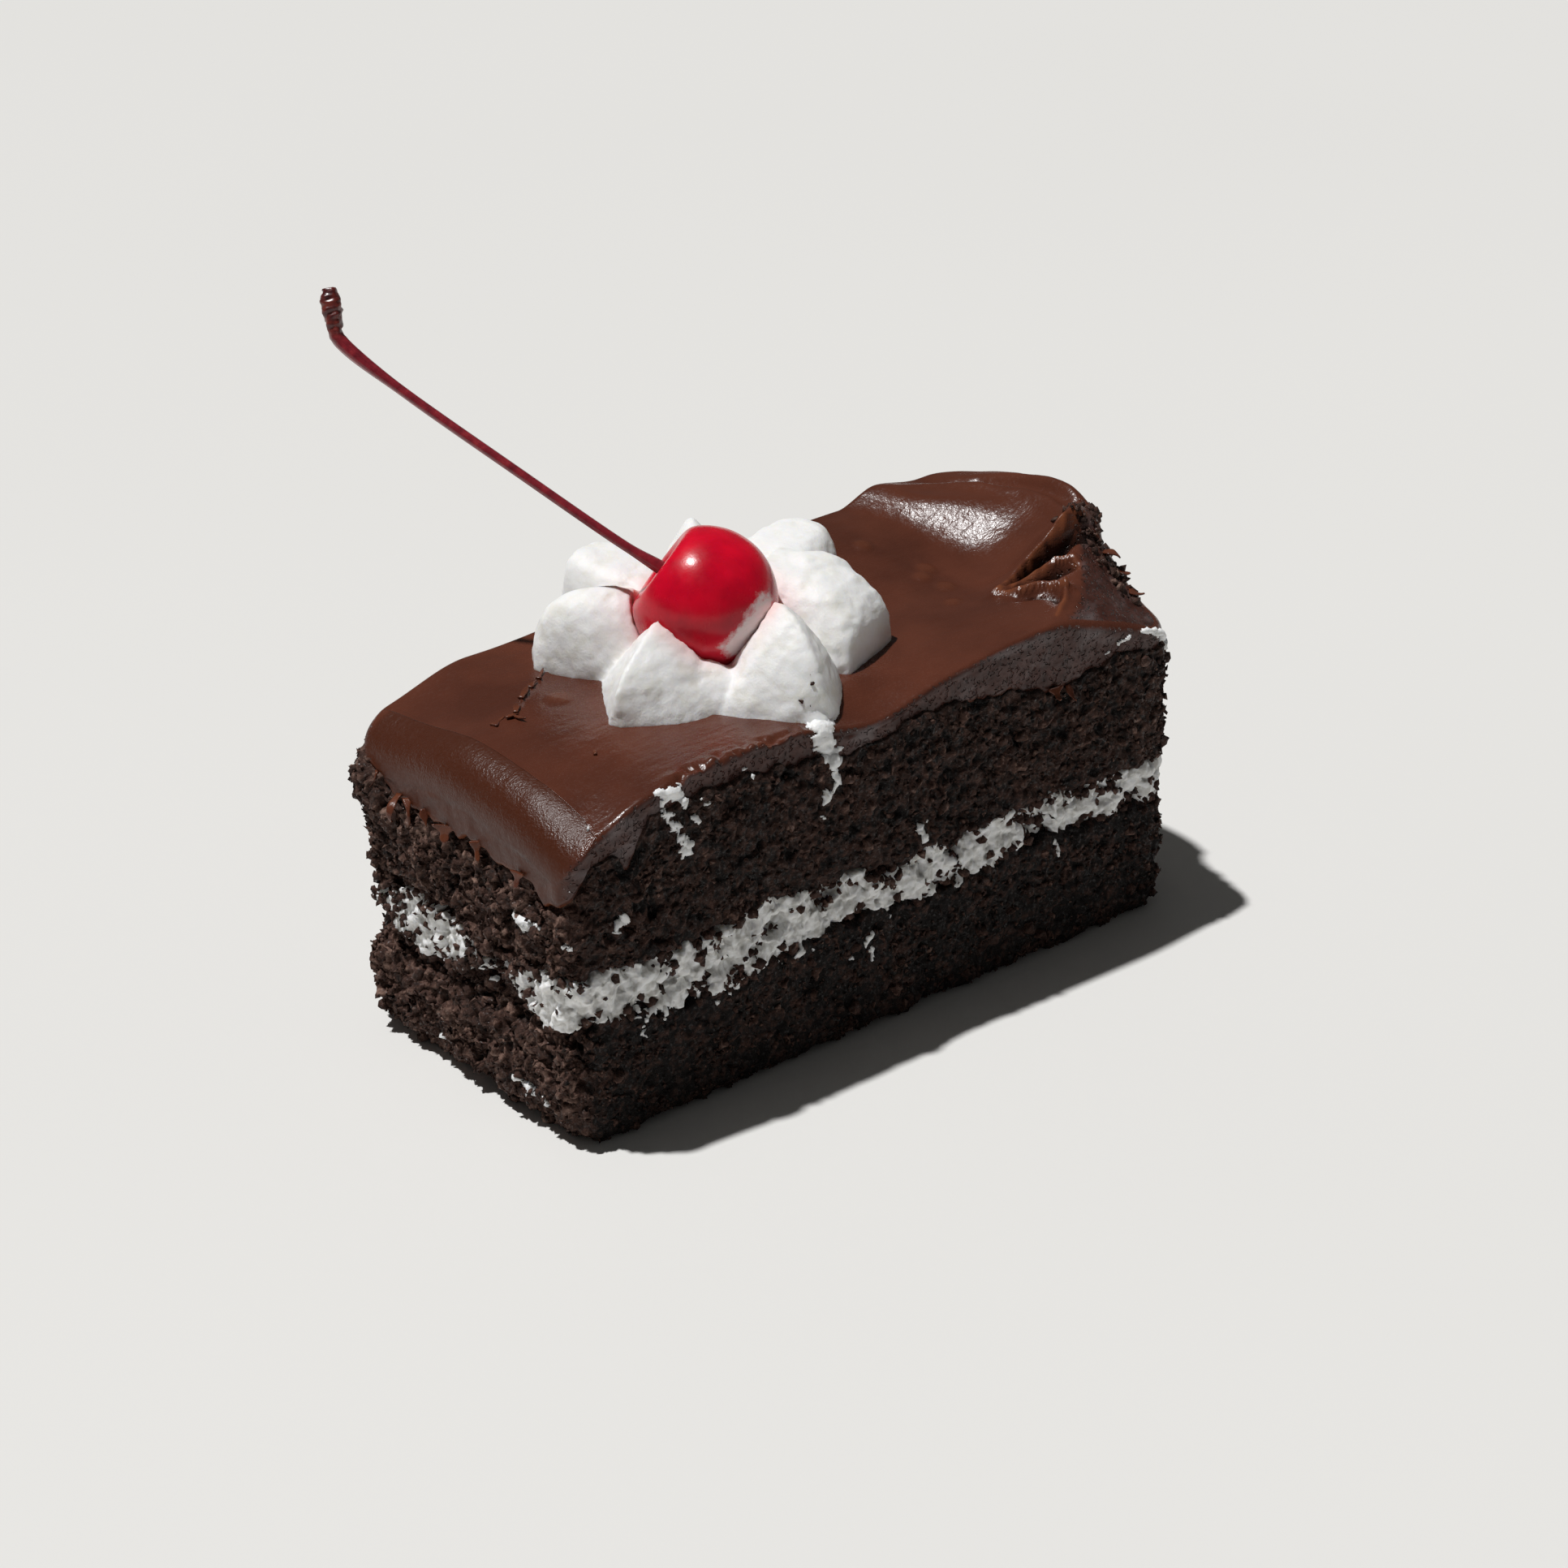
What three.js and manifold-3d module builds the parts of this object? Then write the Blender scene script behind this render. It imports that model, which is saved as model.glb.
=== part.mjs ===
// A bar-shaped slice of two-layer chocolate sheet cake: two sponge layers with whipped-cream filling,
// chocolate frosting that wraps over the left end and is swirled up at the far right corner, a piped
// cream rosette, and a stemmed cherry pressed into it.
//
// Millimetres, +Z up. The origin is the centre of the slice's flat underside. +X runs along the slice,
// from the frosted outer end on the left to the swirled end on the right. The front cut face looks
// towards -Y.

import * as THREE from "three";
import { mergeVertices } from "three/addons/utils/BufferGeometryUtils.js";
import { ImprovedNoise } from "three/addons/math/ImprovedNoise.js";
import Module from "manifold-3d";

// ---- Driving dimensions -------------------------------------------------------------------------

const LENGTH = 105;
const WIDTH = 47.5;
const CORNER_RADIUS = 4.6;
const FILLING_MIDDLE = 20.8; // height of the middle of the cream filling
const FILLING_THICKNESS = 7;
const SPONGE_TOP = 45.4; // top of the upper sponge, under the frosting
const FROSTING_TOP = 48.3; // the frosting's level over the front half of the slice
const FROSTING_SKIRT = 2.4; // thickness of the frosting down the left end
const FROSTING_ROLL = 6; // radius with which the top rolls over into that skirt
const FROSTING_CUT_EDGE = 1; // radius of the frosting's other upper edges
const FROSTING_SMEAR = 1.2; // thickness where the knife dragged it down a cut face
const THINNEST_FROSTING = 2; // over the sponge's top
const CHERRY_RADIUS = 9.7;
const STEM_RADIUS = 0.62;
const ROSETTE_HEIGHT = 9.6; // from the frosting to the top of a lobe
const GAP = 0.3; // clearance between neighbouring solids

const AROUND = 100; // points round the slice
const HALF_LENGTH = LENGTH / 2;
const HALF_WIDTH = WIDTH / 2;

// ---- Small maths --------------------------------------------------------------------------------

const { sin, cos, sqrt, abs, min, max, hypot, atan2, exp, PI } = Math;
const { lerp, degToRad } = THREE.MathUtils;
const perlin = new ImprovedNoise();

function smooth(from, to, value) {
  const t = min(max((value - from) / (to - from), 0), 1);
  return t * t * (3 - 2 * t);
}

function bump(value, centre, halfWidth) {
  return exp(-(((value - centre) / halfWidth) ** 2));
}

// Rough relief of torn crumb: lumps of about 6 mm with 2.5 mm crumbs on them.
function crags(x, y, z) {
  return perlin.noise(x / 6, y / 6, z / 6) + 0.55 * perlin.noise(x / 2.5, y / 2.5, z / 2.5 + 9);
}

// ---- Closed surfaces from rings -----------------------------------------------------------------

// A closed solid through rings of equally many points. Each ring runs anticlockwise seen from the end
// that the rings climb to, each quad is split along its shorter diagonal, and a fan closes each end.
function loft(rings) {
  const count = rings[0].length;
  const points = rings.flat();
  const centreOf = (ring) => ring.reduce((sum, p) => sum.add(p), new THREE.Vector3()).divideScalar(count);
  const first = points.push(centreOf(rings[0])) - 1;
  const last = points.push(centreOf(rings.at(-1))) - 1;
  const index = [];
  for (let i = 0; i < count; i++) {
    const j = (i + 1) % count;
    for (let level = 0; level < rings.length - 1; level++) {
      const [a, b] = [level * count + i, level * count + j];
      const [c, d] = [b + count, a + count];
      const alongAC = points[a].distanceTo(points[c]) < points[b].distanceTo(points[d]);
      index.push(...(alongAC ? [a, b, c, a, c, d] : [a, b, d, b, c, d]));
    }
    const top = (rings.length - 1) * count;
    index.push(first, j, i, last, top + i, top + j);
  }
  const geometry = new THREE.BufferGeometry().setFromPoints(points);
  geometry.setIndex(index);
  return geometry;
}

// ---- The slice's outline ------------------------------------------------------------------------

// Points evenly spaced round a rectangle with rounded corners, each with its outward normal.
function roundedRectangle(halfX, halfY, radius, count) {
  const straightX = 2 * (halfX - radius);
  const straightY = 2 * (halfY - radius);
  const arc = (PI / 2) * radius;
  const total = 2 * (straightX + straightY) + 4 * arc;
  const corners = [
    [halfX - radius, -halfY + radius],
    [halfX - radius, halfY - radius],
    [-halfX + radius, halfY - radius],
    [-halfX + radius, -halfY + radius],
  ];
  const sides = [straightX, straightY, straightX, straightY];
  return Array.from({ length: count }, (_, i) => {
    let along = (i / count) * total;
    for (let side = 0; ; side++) {
      const angle = (side - 1) * (PI / 2); // the side's outward direction
      const [cx, cy] = corners[side];
      if (along <= sides[side]) {
        const back = sides[side] - along;
        return {
          x: cx + radius * cos(angle) + back * sin(angle),
          y: cy + radius * sin(angle) - back * cos(angle),
          nx: cos(angle),
          ny: sin(angle),
        };
      }
      along -= sides[side];
      if (along <= arc) {
        const turned = angle + along / radius;
        return {
          x: cx + radius * cos(turned),
          y: cy + radius * sin(turned),
          nx: cos(turned),
          ny: sin(turned),
        };
      }
      along -= arc;
    }
  });
}

const outline = roundedRectangle(HALF_LENGTH, HALF_WIDTH, CORNER_RADIUS, AROUND);

// A ring round the slice, moved in by inset(point) and lifted to height(point).
function ring(inset, height) {
  return outline.map((p) => {
    const move = inset(p);
    return new THREE.Vector3(p.x - p.nx * move, p.y - p.ny * move, height(p));
  });
}

const leftEnd = (p) => smooth(-HALF_LENGTH + 4, -HALF_LENGTH + 0.5, p.x);
const rightEnd = (p) => smooth(HALF_LENGTH - 5, HALF_LENGTH - 0.5, p.x);
const frontFace = (p) => smooth(-HALF_WIDTH + 4, -HALF_WIDTH + 0.5, p.y);

// ---- Heights of the layers ----------------------------------------------------------------------

function fillingMiddle(p) {
  const leftTilt = bump(p.x, -52, 12) * (-1 - (2 * p.y) / HALF_WIDTH);
  return FILLING_MIDDLE + leftTilt + 0.5 * sin(p.x / 7 + p.y / 9);
}

function fillingThickness(p) {
  const squeezed = 2.6 * bump(p.x, -25, 12) * frontFace(p);
  return FILLING_THICKNESS + squeezed + 1.4 * perlin.noise(p.x / 5, p.y / 5, 3);
}

const fillingBottom = (p) => fillingMiddle(p) - fillingThickness(p) / 2;
const fillingTop = (p) => fillingMiddle(p) + fillingThickness(p) / 2;

// The upper sponge's top, where the frosting lies on it: it sags under the rosette and falls to the right,
// and the frosting is never thinner than THINNEST_FROSTING.
function spongeTop(p) {
  const sag = 2.2 * bump(p.x, -7, 9) * smooth(-6, -22, p.y);
  const fall = 3.2 * smooth(6, 28, p.x) - 1.2 * smooth(33, 46, p.x);
  return easedMin(SPONGE_TOP - sag - fall, frostingLevel(p.x, p.y) - THINNEST_FROSTING, 1);
}

// The frosting's ragged lower edge: low on the left end, thin on the cut faces with dragged-down points.
function frostingEdge(p) {
  const leftSkirt = (7 - 0.7 * smooth(8, 20, p.y)) * leftEnd(p);
  const cornerDrop = 2.4 * bump(p.x, -46.5, 3) * frontFace(p);
  const spike = 4.6 * bump(p.x, -43.4, 1.9) * frontFace(p);
  const shoulder = 1.6 * bump(p.x, 31, 5) * frontFace(p);
  const ragged = 0.8 * perlin.noise(p.x / 3, p.y / 3, 7) + 0.4 * sin(p.x * 0.9 + p.y * 1.3);
  return spongeTop(p) - 0.9 - leftSkirt - cornerDrop - spike - shoulder + min(ragged, 0.5);
}

// The knife sheared the front right corner of the frosting off, back from a line across its top.
const SHEAR = { x: 29, y: -23.75, z: 50.2, heading: degToRad(38.5), slope: 0.73, climb: 0.13 };

function shearedFace(x, y) {
  const dx = x - SHEAR.x;
  const dy = y - SHEAR.y;
  const along = dx * cos(SHEAR.heading) + dy * sin(SHEAR.heading);
  const across = dx * sin(SHEAR.heading) - dy * cos(SHEAR.heading);
  const scoop = 1.4 * bump(across, 8, 4) * smooth(12, 22, along);
  return SHEAR.z + SHEAR.climb * along - SHEAR.slope * across - scoop;
}

// The smaller of two heights, with the edge between them eased over about k millimetres.
function easedMin(a, b, k) {
  const t = max(k - abs(a - b), 0) / k;
  return min(a, b) - (t * t * k) / 4;
}

// The level that the frosting was spread to. It rises to the back and falls to the left end. At the far
// right a swirl has a dish with a ridge round it.
function frostingLevel(x, y) {
  const leftFall = smooth(-34, -HALF_LENGTH, x) * (0.9 + 3 * smooth(0, 22, y));
  const frontRise = 1.7 * smooth(6, 30, x) * smooth(0, -20, y);
  const frontDip = 2.6 * bump(x, -3, 9) * smooth(-15, -23, y);
  const reach = (max(x - 28, 0) / 23) ** 2 + (max(y + 2, 0) / 24) ** 4 * smooth(28, 46, x);
  const ridge = smooth(0.05, 0.97, reach);
  const backRise = 3.3 * smooth(-32, 12, x) * smooth(-4, 22, y) * (1 - ridge);
  const swirl = 5.4 * ridge - 1.1 * smooth(12, 23, y) * smooth(38, 46, x);
  const dish = 1.5 * bump(x, 40, 9) * bump(y, 6, 9);
  const spread = FROSTING_TOP + backRise - leftFall + frontRise - frontDip + swirl - dish;
  return easedMin(spread, shearedFace(x, y), 1.5);
}

// How far the top falls where it rolls over into the skirt of the left end.
function leftRoll(x) {
  const inward = max(FROSTING_ROLL - (x + HALF_LENGTH + 0.35), 0);
  return FROSTING_ROLL - sqrt(max(FROSTING_ROLL ** 2 - inward ** 2, 0));
}

const frostingTop = (x, y) => frostingLevel(x, y) - leftRoll(x);

// ---- Sponge, filling and frosting ---------------------------------------------------------------

const BOTTOM_EDGE = 2.6; // radius of the slice's lower edges
const SEAM_INSET = 4.2; // how far in the seams between the layers lie flat
const LIP = 3.2; // how far the swirl's lip hangs out over the right end
const levels = (count) => Array.from({ length: count }, (_, i) => i / (count - 1));

function spongeInset(p, z) {
  const low = max(BOTTOM_EDGE * (1 + rightEnd(p)) - z, 0);
  const radius = BOTTOM_EDGE * (1 + rightEnd(p));
  const bottomRound = radius - sqrt(max(radius ** 2 - low ** 2, 0));
  return bottomRound - 0.3 - 0.85 * crags(p.x, p.y, z);
}

// The flat middle of a seam between two layers, the same on both sides of it.
const seam = (height) => ring(() => SEAM_INSET, height);

function lowerSponge() {
  const top = (p) => fillingBottom(p) - GAP / 2;
  const side = levels(8).map((t) =>
    ring(
      (p) => spongeInset(p, t * 14) + 2.6 * leftEnd(p) * smooth(0.6, 1, t) + (t === 1 ? 0.7 : 0),
      (p) => t * top(p),
    ),
  );
  return loft([...side, seam(top)]);
}

function filling() {
  const under = (p) => fillingBottom(p) + GAP / 2;
  const top = (p) => fillingTop(p) - GAP / 2;
  const edge = (p, z) => 0.9 - 0.9 * perlin.noise(p.x / 3.2, p.y / 3.2, z) + 1.2 * leftEnd(p);
  const side = [0.05, 0.3, 0.7, 0.95].map((t) =>
    ring(
      (p) => edge(p, t * 4) + 2 * max(abs(t - 0.5) - 0.2, 0) * 1.8,
      (p) => lerp(under(p), top(p), t),
    ),
  );
  return loft([seam(under), ...side, seam(top)]);
}

const skirtThickness = (p) => lerp(FROSTING_SMEAR, FROSTING_SKIRT, leftEnd(p));

// The bed that the frosting lies on: rings from inset(point) in from the outline to the middle.
function bed(inset, lift) {
  return [1, 0.8, 0.55].map((share) =>
    outline.map((p) => {
      const at = { x: (p.x - p.nx * inset(p)) * share, y: (p.y - p.ny * inset(p)) * share };
      return new THREE.Vector3(at.x, at.y, spongeTop(at) + lift);
    }),
  );
}

function upperSponge() {
  const under = (p) => fillingTop(p) + GAP / 2;
  const underSkirtCorner = (p) => 1.6 * bump(p.x, -50, 4) * smooth(4, 18, abs(p.y));
  const ledge = (p) => frostingEdge(p) - GAP - underSkirtCorner(p);
  const side = levels(7).map((t) =>
    ring(
      (p) => spongeInset(p, 22 + 20 * t) + (t === 0 ? 0.7 : 0),
      (p) => lerp(under(p), ledge(p), t),
    ),
  );
  side.at(-1).forEach((point) => (point.z -= 2 * GAP));
  const inner = (p) => skirtThickness(p) + GAP + 1.2;
  const shoulder = [ring((p) => inner(p) - 0.9, ledge), ring(inner, ledge)];
  return loft([seam(under), ...side, ...shoulder, ...bed(inner, 0)]);
}

function frosting() {
  const inner = (p) => skirtThickness(p) + 1.2;
  const lip = (p) => LIP * rightEnd(p) * smooth(-10, -3, p.y) * smooth(25, 15, p.y);
  const proud = (p, t) => 0.35 * leftEnd(p) - 0.25 * frontFace(p) + lip(p) * t * t;
  const lipRise = (p) => 2.6 * rightEnd(p) * bump(p.y, 3, 9.5);
  // A point of the upper edge, from the side at turn 0 over to the top at turn 1.
  const edgePoint = (p, turn) => {
    const angle = (turn * PI) / 2;
    const inset = (p.x < 0 ? FROSTING_ROLL : FROSTING_CUT_EDGE) * (1 - cos(angle)) - proud(p, 1);
    const insetY = FROSTING_CUT_EDGE * (1 - cos(angle)) - proud(p, 1);
    const x = p.x - p.nx * inset;
    const y = p.y - p.ny * insetY;
    const cutEdge = p.x < 0 ? p.ny ** 2 : 1;
    const top = frostingTop(min(max(x, -HALF_LENGTH - 0.35), HALF_LENGTH - 2), y);
    return new THREE.Vector3(x, y, top + lipRise(p) - cutEdge * FROSTING_CUT_EDGE * (1 - sin(angle)));
  };
  const underside = [
    ...bed(inner, GAP).reverse(),
    ring((p) => inner(p) - 0.2, frostingEdge),
    ring((p) => -proud(p, 0), frostingEdge),
  ];
  const outside = [0.35, 0.7].map((t) =>
    ring(
      (p) => -proud(p, t) - 0.5 * perlin.noise(p.x / 7, p.y / 7, t * 2),
      (p) => lerp(frostingEdge(p), edgePoint(p, 0).z, t),
    ),
  );
  const rounding = [0, 0.35, 0.7].map((turn) => outline.map((p) => edgePoint(p, turn)));
  const middle = { x: 8, y: 2 };
  const top = [0.94, 0.87, 0.78, 0.67, 0.54, 0.38, 0.2].map((share) =>
    outline.map((p) => {
      const x = lerp(middle.x, p.x, share);
      const y = lerp(middle.y, p.y, share);
      return new THREE.Vector3(x, y, frostingTop(x, y));
    }),
  );
  return loft([...underside, ...outside, ...rounding, ...top]);
}

// ---- Rosette, cherry and stem -------------------------------------------------------------------

const ROSETTE_CENTRE = new THREE.Vector2(-8.5, 2.5);
const CHERRY_CENTRE = new THREE.Vector3(-12.4, -0.6, 58.2);

// The piped lobes: direction in degrees, reach from the centre and height share of each.
const LOBES = [
  { angle: 7, reach: 23.5, height: 1.2 },
  { angle: 60, reach: 20, height: 1.08 },
  { angle: 114, reach: 23, height: 1.05 },
  { angle: 152, reach: 25.5, height: 1.08 },
  { angle: 201, reach: 25.5, height: 1 },
  { angle: 262, reach: 22, height: 0.95 },
  { angle: 324, reach: 24, height: 1.14 },
];

// How far a direction is into a lobe, from 0 in a valley to 1 on its ridge, with that lobe's sizes.
function lobeAt(angle) {
  const degrees = ((angle * 180) / PI + 360) % 360;
  const next = LOBES.findIndex((lobe) => lobe.angle > degrees);
  const upper = LOBES[next === -1 ? 0 : next];
  const lower = LOBES[((next === -1 ? 0 : next) + LOBES.length - 1) % LOBES.length];
  const span = (upper.angle - lower.angle + 360) % 360;
  const t = ((degrees - lower.angle + 360) % 360) / span;
  const near = t < 0.5 ? lower : upper;
  return { ridge: abs(cos(PI * t)) ** 0.6, reach: near.reach, height: near.height };
}

// A point of the rosette's skin: t runs from the foot of the lobes over their tops to the middle.
function rosettePoint(angle, t) {
  const lobe = lobeAt(angle);
  const reach = lerp(17.5, lobe.reach, lobe.ridge);
  const height = ROSETTE_HEIGHT * lerp(0.58, lobe.height, lobe.ridge);
  const crest = lerp(10.5, 13.5, lobe.ridge);
  let radius;
  let lift;
  if (t < 0.55) {
    const turn = (PI / 2) * (t / 0.55);
    radius = crest + (reach - crest) * cos(turn) ** 0.75 - 1.3 * (1 - smooth(0, 0.2, t));
    lift = height * sin(turn) ** 0.85;
  } else {
    const inward = (t - 0.55) / 0.45;
    radius = crest * (1 - inward);
    lift = lerp(height, 2.2, smooth(0, 0.8, inward));
  }
  const x = ROSETTE_CENTRE.x + radius * cos(angle);
  const y = ROSETTE_CENTRE.y + radius * sin(angle);
  return new THREE.Vector3(x, y, frostingTop(x, y) + lift + GAP);
}

const ROSETTE_AROUND = 76;

function rosetteBlank() {
  const angles = Array.from({ length: ROSETTE_AROUND }, (_, i) => (i / ROSETTE_AROUND) * 2 * PI);
  const skin = [0.06, 0.18, 0.3, 0.42, 0.55, 0.66, 0.78, 0.9].map((t) =>
    angles.map((angle) => rosettePoint(angle, t)),
  );
  const foot = angles.map((angle) => {
    const p = rosettePoint(angle, 0);
    return new THREE.Vector3(p.x, p.y, p.z - 2);
  });
  return loft([foot, ...skin]);
}

// The stem's direction out of the cherry, up to the back left.
const STEM_AXIS = new THREE.Vector3(-0.5, 0.64, 0.58).normalize();

const DIMPLE = 0.34; // depth of the hollow at the stem, as a share of the cherry's radius

function cherry() {
  const profile = levels(15).map((t) => {
    const angle = PI * t;
    const hollow = 1 - DIMPLE * exp(-(((PI - angle) / 0.55) ** 4));
    const radius = CHERRY_RADIUS * hollow;
    return new THREE.Vector2(t === 0 || t === 1 ? 0 : radius * sin(angle), -radius * cos(angle));
  });
  return new THREE.LatheGeometry(profile, 22);
}

// The stem's centreline, from the floor of the cherry's dimple to the kink under its woody tip.
const STEM_PATH = new THREE.CatmullRomCurve3([
  CHERRY_CENTRE.clone().addScaledVector(STEM_AXIS, CHERRY_RADIUS * (1 - DIMPLE) + 3 * GAP),
  new THREE.Vector3(-19.9, 8.5, 65.9),
  new THREE.Vector3(-27.2, 19.3, 73.9),
  new THREE.Vector3(-35.4, 32.3, 83.2),
  new THREE.Vector3(-39.8, 39.9, 89.1),
  new THREE.Vector3(-39.9, 41.6, 92),
  new THREE.Vector3(-39.2, 43.4, 95.6),
]);
const STEM_SIDES = 8;

function stemRadius(t) {
  const root = 0.55 * smooth(0.14, 0, t);
  const kink = 0.35 * smooth(0.7, 0.88, t);
  const knob = 0.35 * smooth(0.9, 0.96, t) * (1 - smooth(0.97, 1, t));
  return STEM_RADIUS + root + kink + knob;
}

function stem() {
  const steps = 26;
  const frames = STEM_PATH.computeFrenetFrames(steps, false);
  const rings = Array.from({ length: steps + 1 }, (_, i) => {
    const centre = STEM_PATH.getPointAt(i / steps);
    const radius = stemRadius(i / steps);
    return Array.from({ length: STEM_SIDES }, (_, k) => {
      const angle = (k / STEM_SIDES) * 2 * PI;
      return centre
        .clone()
        .addScaledVector(frames.normals[i], radius * cos(angle))
        .addScaledVector(frames.binormals[i], radius * sin(angle));
    });
  });
  return loft(rings);
}

// ---- Solids cut by their neighbours -------------------------------------------------------------

const wasm = await Module();
wasm.setup();

function toSolid(geometry) {
  const bare = geometry.clone();
  bare.deleteAttribute("normal");
  bare.deleteAttribute("uv");
  const merged = mergeVertices(bare, 1e-3);
  return new wasm.Manifold(
    new wasm.Mesh({
      numProp: 3,
      vertProperties: new Float32Array(merged.attributes.position.array),
      triVerts: new Uint32Array(merged.index.array),
    }),
  );
}

function toGeometry(solid) {
  const mesh = solid.getMesh();
  const geometry = new THREE.BufferGeometry();
  geometry.setAttribute("position", new THREE.BufferAttribute(new Float32Array(mesh.vertProperties), 3));
  geometry.setIndex(new THREE.BufferAttribute(new Uint32Array(mesh.triVerts), 1));
  return geometry;
}

function cherryPlaced(scale) {
  const turn = new THREE.Quaternion().setFromUnitVectors(new THREE.Vector3(0, 1, 0), STEM_AXIS);
  const place = new THREE.Matrix4().compose(CHERRY_CENTRE, turn, new THREE.Vector3(scale, scale, scale));
  return cherry().applyMatrix4(place);
}

// The rosette stands on the frosting and holds the cherry, clear of both by GAP.
function rosette() {
  const cherryRoom = toSolid(cherryPlaced(1 + (1.3 * GAP) / CHERRY_RADIUS));
  const frostingRoom = toSolid(frosting()).translate([0, 0, GAP]);
  const cut = toSolid(rosetteBlank()).subtract(cherryRoom).subtract(frostingRoom);
  const pieces = cut.decompose().sort((a, b) => b.volume() - a.volume());
  return toGeometry(pieces[0]);
}

// ---- The slice ----------------------------------------------------------------------------------

const spongeMaterial = new THREE.MeshStandardMaterial({ color: 0x2b1a16, roughness: 0.95 });
const creamMaterial = new THREE.MeshStandardMaterial({ color: 0xf1f0ea, roughness: 0.7 });
const frostingMaterial = new THREE.MeshStandardMaterial({ color: 0x4e271b, roughness: 0.35 });
const cherryMaterial = new THREE.MeshStandardMaterial({ color: 0xb00a1e, roughness: 0.15 });
const stemMaterial = new THREE.MeshStandardMaterial({ color: 0x7a1a20, roughness: 0.4 });

const slice = new THREE.Group();

function add(name, geometry, material) {
  const mesh = new THREE.Mesh(geometry, material);
  mesh.name = name;
  slice.add(mesh);
}

add("sponge_lower", lowerSponge(), spongeMaterial);
add("cream_filling", filling(), creamMaterial);
add("sponge_upper", upperSponge(), spongeMaterial);
add("chocolate_frosting", frosting(), frostingMaterial);
add("cream_rosette", rosette(), creamMaterial);
add("cherry", cherryPlaced(1), cherryMaterial);
add("cherry_stem", stem(), stemMaterial);

export default slice;
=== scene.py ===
import math

import bpy
import numpy as np
from mathutils import Matrix, Vector, noise


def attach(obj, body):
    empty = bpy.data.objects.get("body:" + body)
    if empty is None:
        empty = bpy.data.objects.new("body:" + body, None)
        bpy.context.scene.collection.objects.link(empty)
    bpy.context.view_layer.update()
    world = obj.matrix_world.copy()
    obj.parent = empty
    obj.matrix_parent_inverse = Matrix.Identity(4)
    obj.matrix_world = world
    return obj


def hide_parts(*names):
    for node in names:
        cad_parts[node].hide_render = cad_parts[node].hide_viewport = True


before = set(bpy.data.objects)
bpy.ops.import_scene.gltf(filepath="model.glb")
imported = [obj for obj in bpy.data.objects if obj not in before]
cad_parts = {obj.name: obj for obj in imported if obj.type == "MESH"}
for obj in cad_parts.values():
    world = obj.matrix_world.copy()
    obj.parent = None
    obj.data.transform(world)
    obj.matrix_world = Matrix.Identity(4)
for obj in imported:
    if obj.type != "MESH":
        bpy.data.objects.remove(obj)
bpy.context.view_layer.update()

# ==== Table, lamp and camera ======================================================================
# The slice stands on a pale painted table. One strong lamp hangs high behind its left end, and the
# pale walls of the room fill the shadows. Every size in this file is in millimetres.

MM = 0.001
TABLE_COLOUR = (0.81, 0.80, 0.775)
TABLE_SIZE = 9000
LAMP_FROM = (-0.235, 0.21, 1.0)
LAMP_STRENGTH = 3.15
LAMP_SPREAD = 2.0
ROOM_COLOUR = (1.0, 0.99, 0.97)
ROOM_STRENGTH = 0.06
CAMERA_PLACE = (-289.107, -352.200, 255.064)
CAMERA_AZIMUTH = -39.5
CAMERA_ELEVATION = 26.603
CAMERA_ROLL = -0.582
CAMERA_LENS = 85.518
CAMERA_SENSOR = 36.0


def join(tree, to, inputs):
    """Links or sets the inputs of a node."""
    for socket, value in inputs.items():
        if isinstance(value, bpy.types.NodeSocket):
            tree.links.new(value, to.inputs[socket])
        else:
            to.inputs[socket].default_value = value


def node(tree, kind, inputs=None, **settings):
    """Adds a node, with its settings and its inputs."""
    made = tree.nodes.new(kind)
    for name, value in settings.items():
        setattr(made, name, value)
    join(tree, made, inputs or {})
    return made


def finish(name):
    """A new material with its node tree and its shader."""
    material = bpy.data.materials.new(name)
    material.use_nodes = True
    tree = material.node_tree
    return material, tree, tree.nodes["Principled BSDF"]


def ramp(tree, factor, stops):
    """Colours along a factor: stops are (place, colour), or (place, number) for a grey."""
    made = node(tree, "ShaderNodeValToRGB", {0: factor})
    elements = made.color_ramp.elements
    while len(elements) < len(stops):
        elements.new(0.5)
    for element, (place, colour) in zip(elements, stops):
        element.position = place
        element.color = (*np.broadcast_to(colour, 3).tolist(), 1.0)
    return made.outputs[0]


def grain(tree, size, detail=2.0, roughness=0.55, stretch=(1, 1, 1), seed=0.0):
    """Noise from 0 to 1 with lumps of about size millimetres, in the piece's own coordinates."""
    place = node(tree, "ShaderNodeTexCoord").outputs["Object"]
    shift = (seed * 0.13, seed * 0.29, seed * 0.17)
    moved = node(tree, "ShaderNodeMapping", {"Vector": place, "Scale": stretch, "Location": shift})
    inputs = {"Vector": moved.outputs[0], "Scale": 1 / (size * MM), "Detail": detail, "Roughness": roughness}
    return node(tree, "ShaderNodeTexNoise", inputs).outputs[0]


def mesh_of(name, points, faces):
    """A mesh of points in millimetres and of faces."""
    mesh = bpy.data.meshes.new(name)
    mesh.from_pydata((np.array(points) * MM).tolist(), [], faces)
    return mesh


def stood(name, data, material=None):
    """A new object in the scene. Where it is given a material, its mesh is smooth and made of that."""
    if material:
        data.shade_smooth()
        data.materials.append(material)
    made = bpy.data.objects.new(name, data)
    scene.collection.objects.link(made)
    return made


scene = bpy.context.scene
scene.view_settings.view_transform = "Standard"

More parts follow.
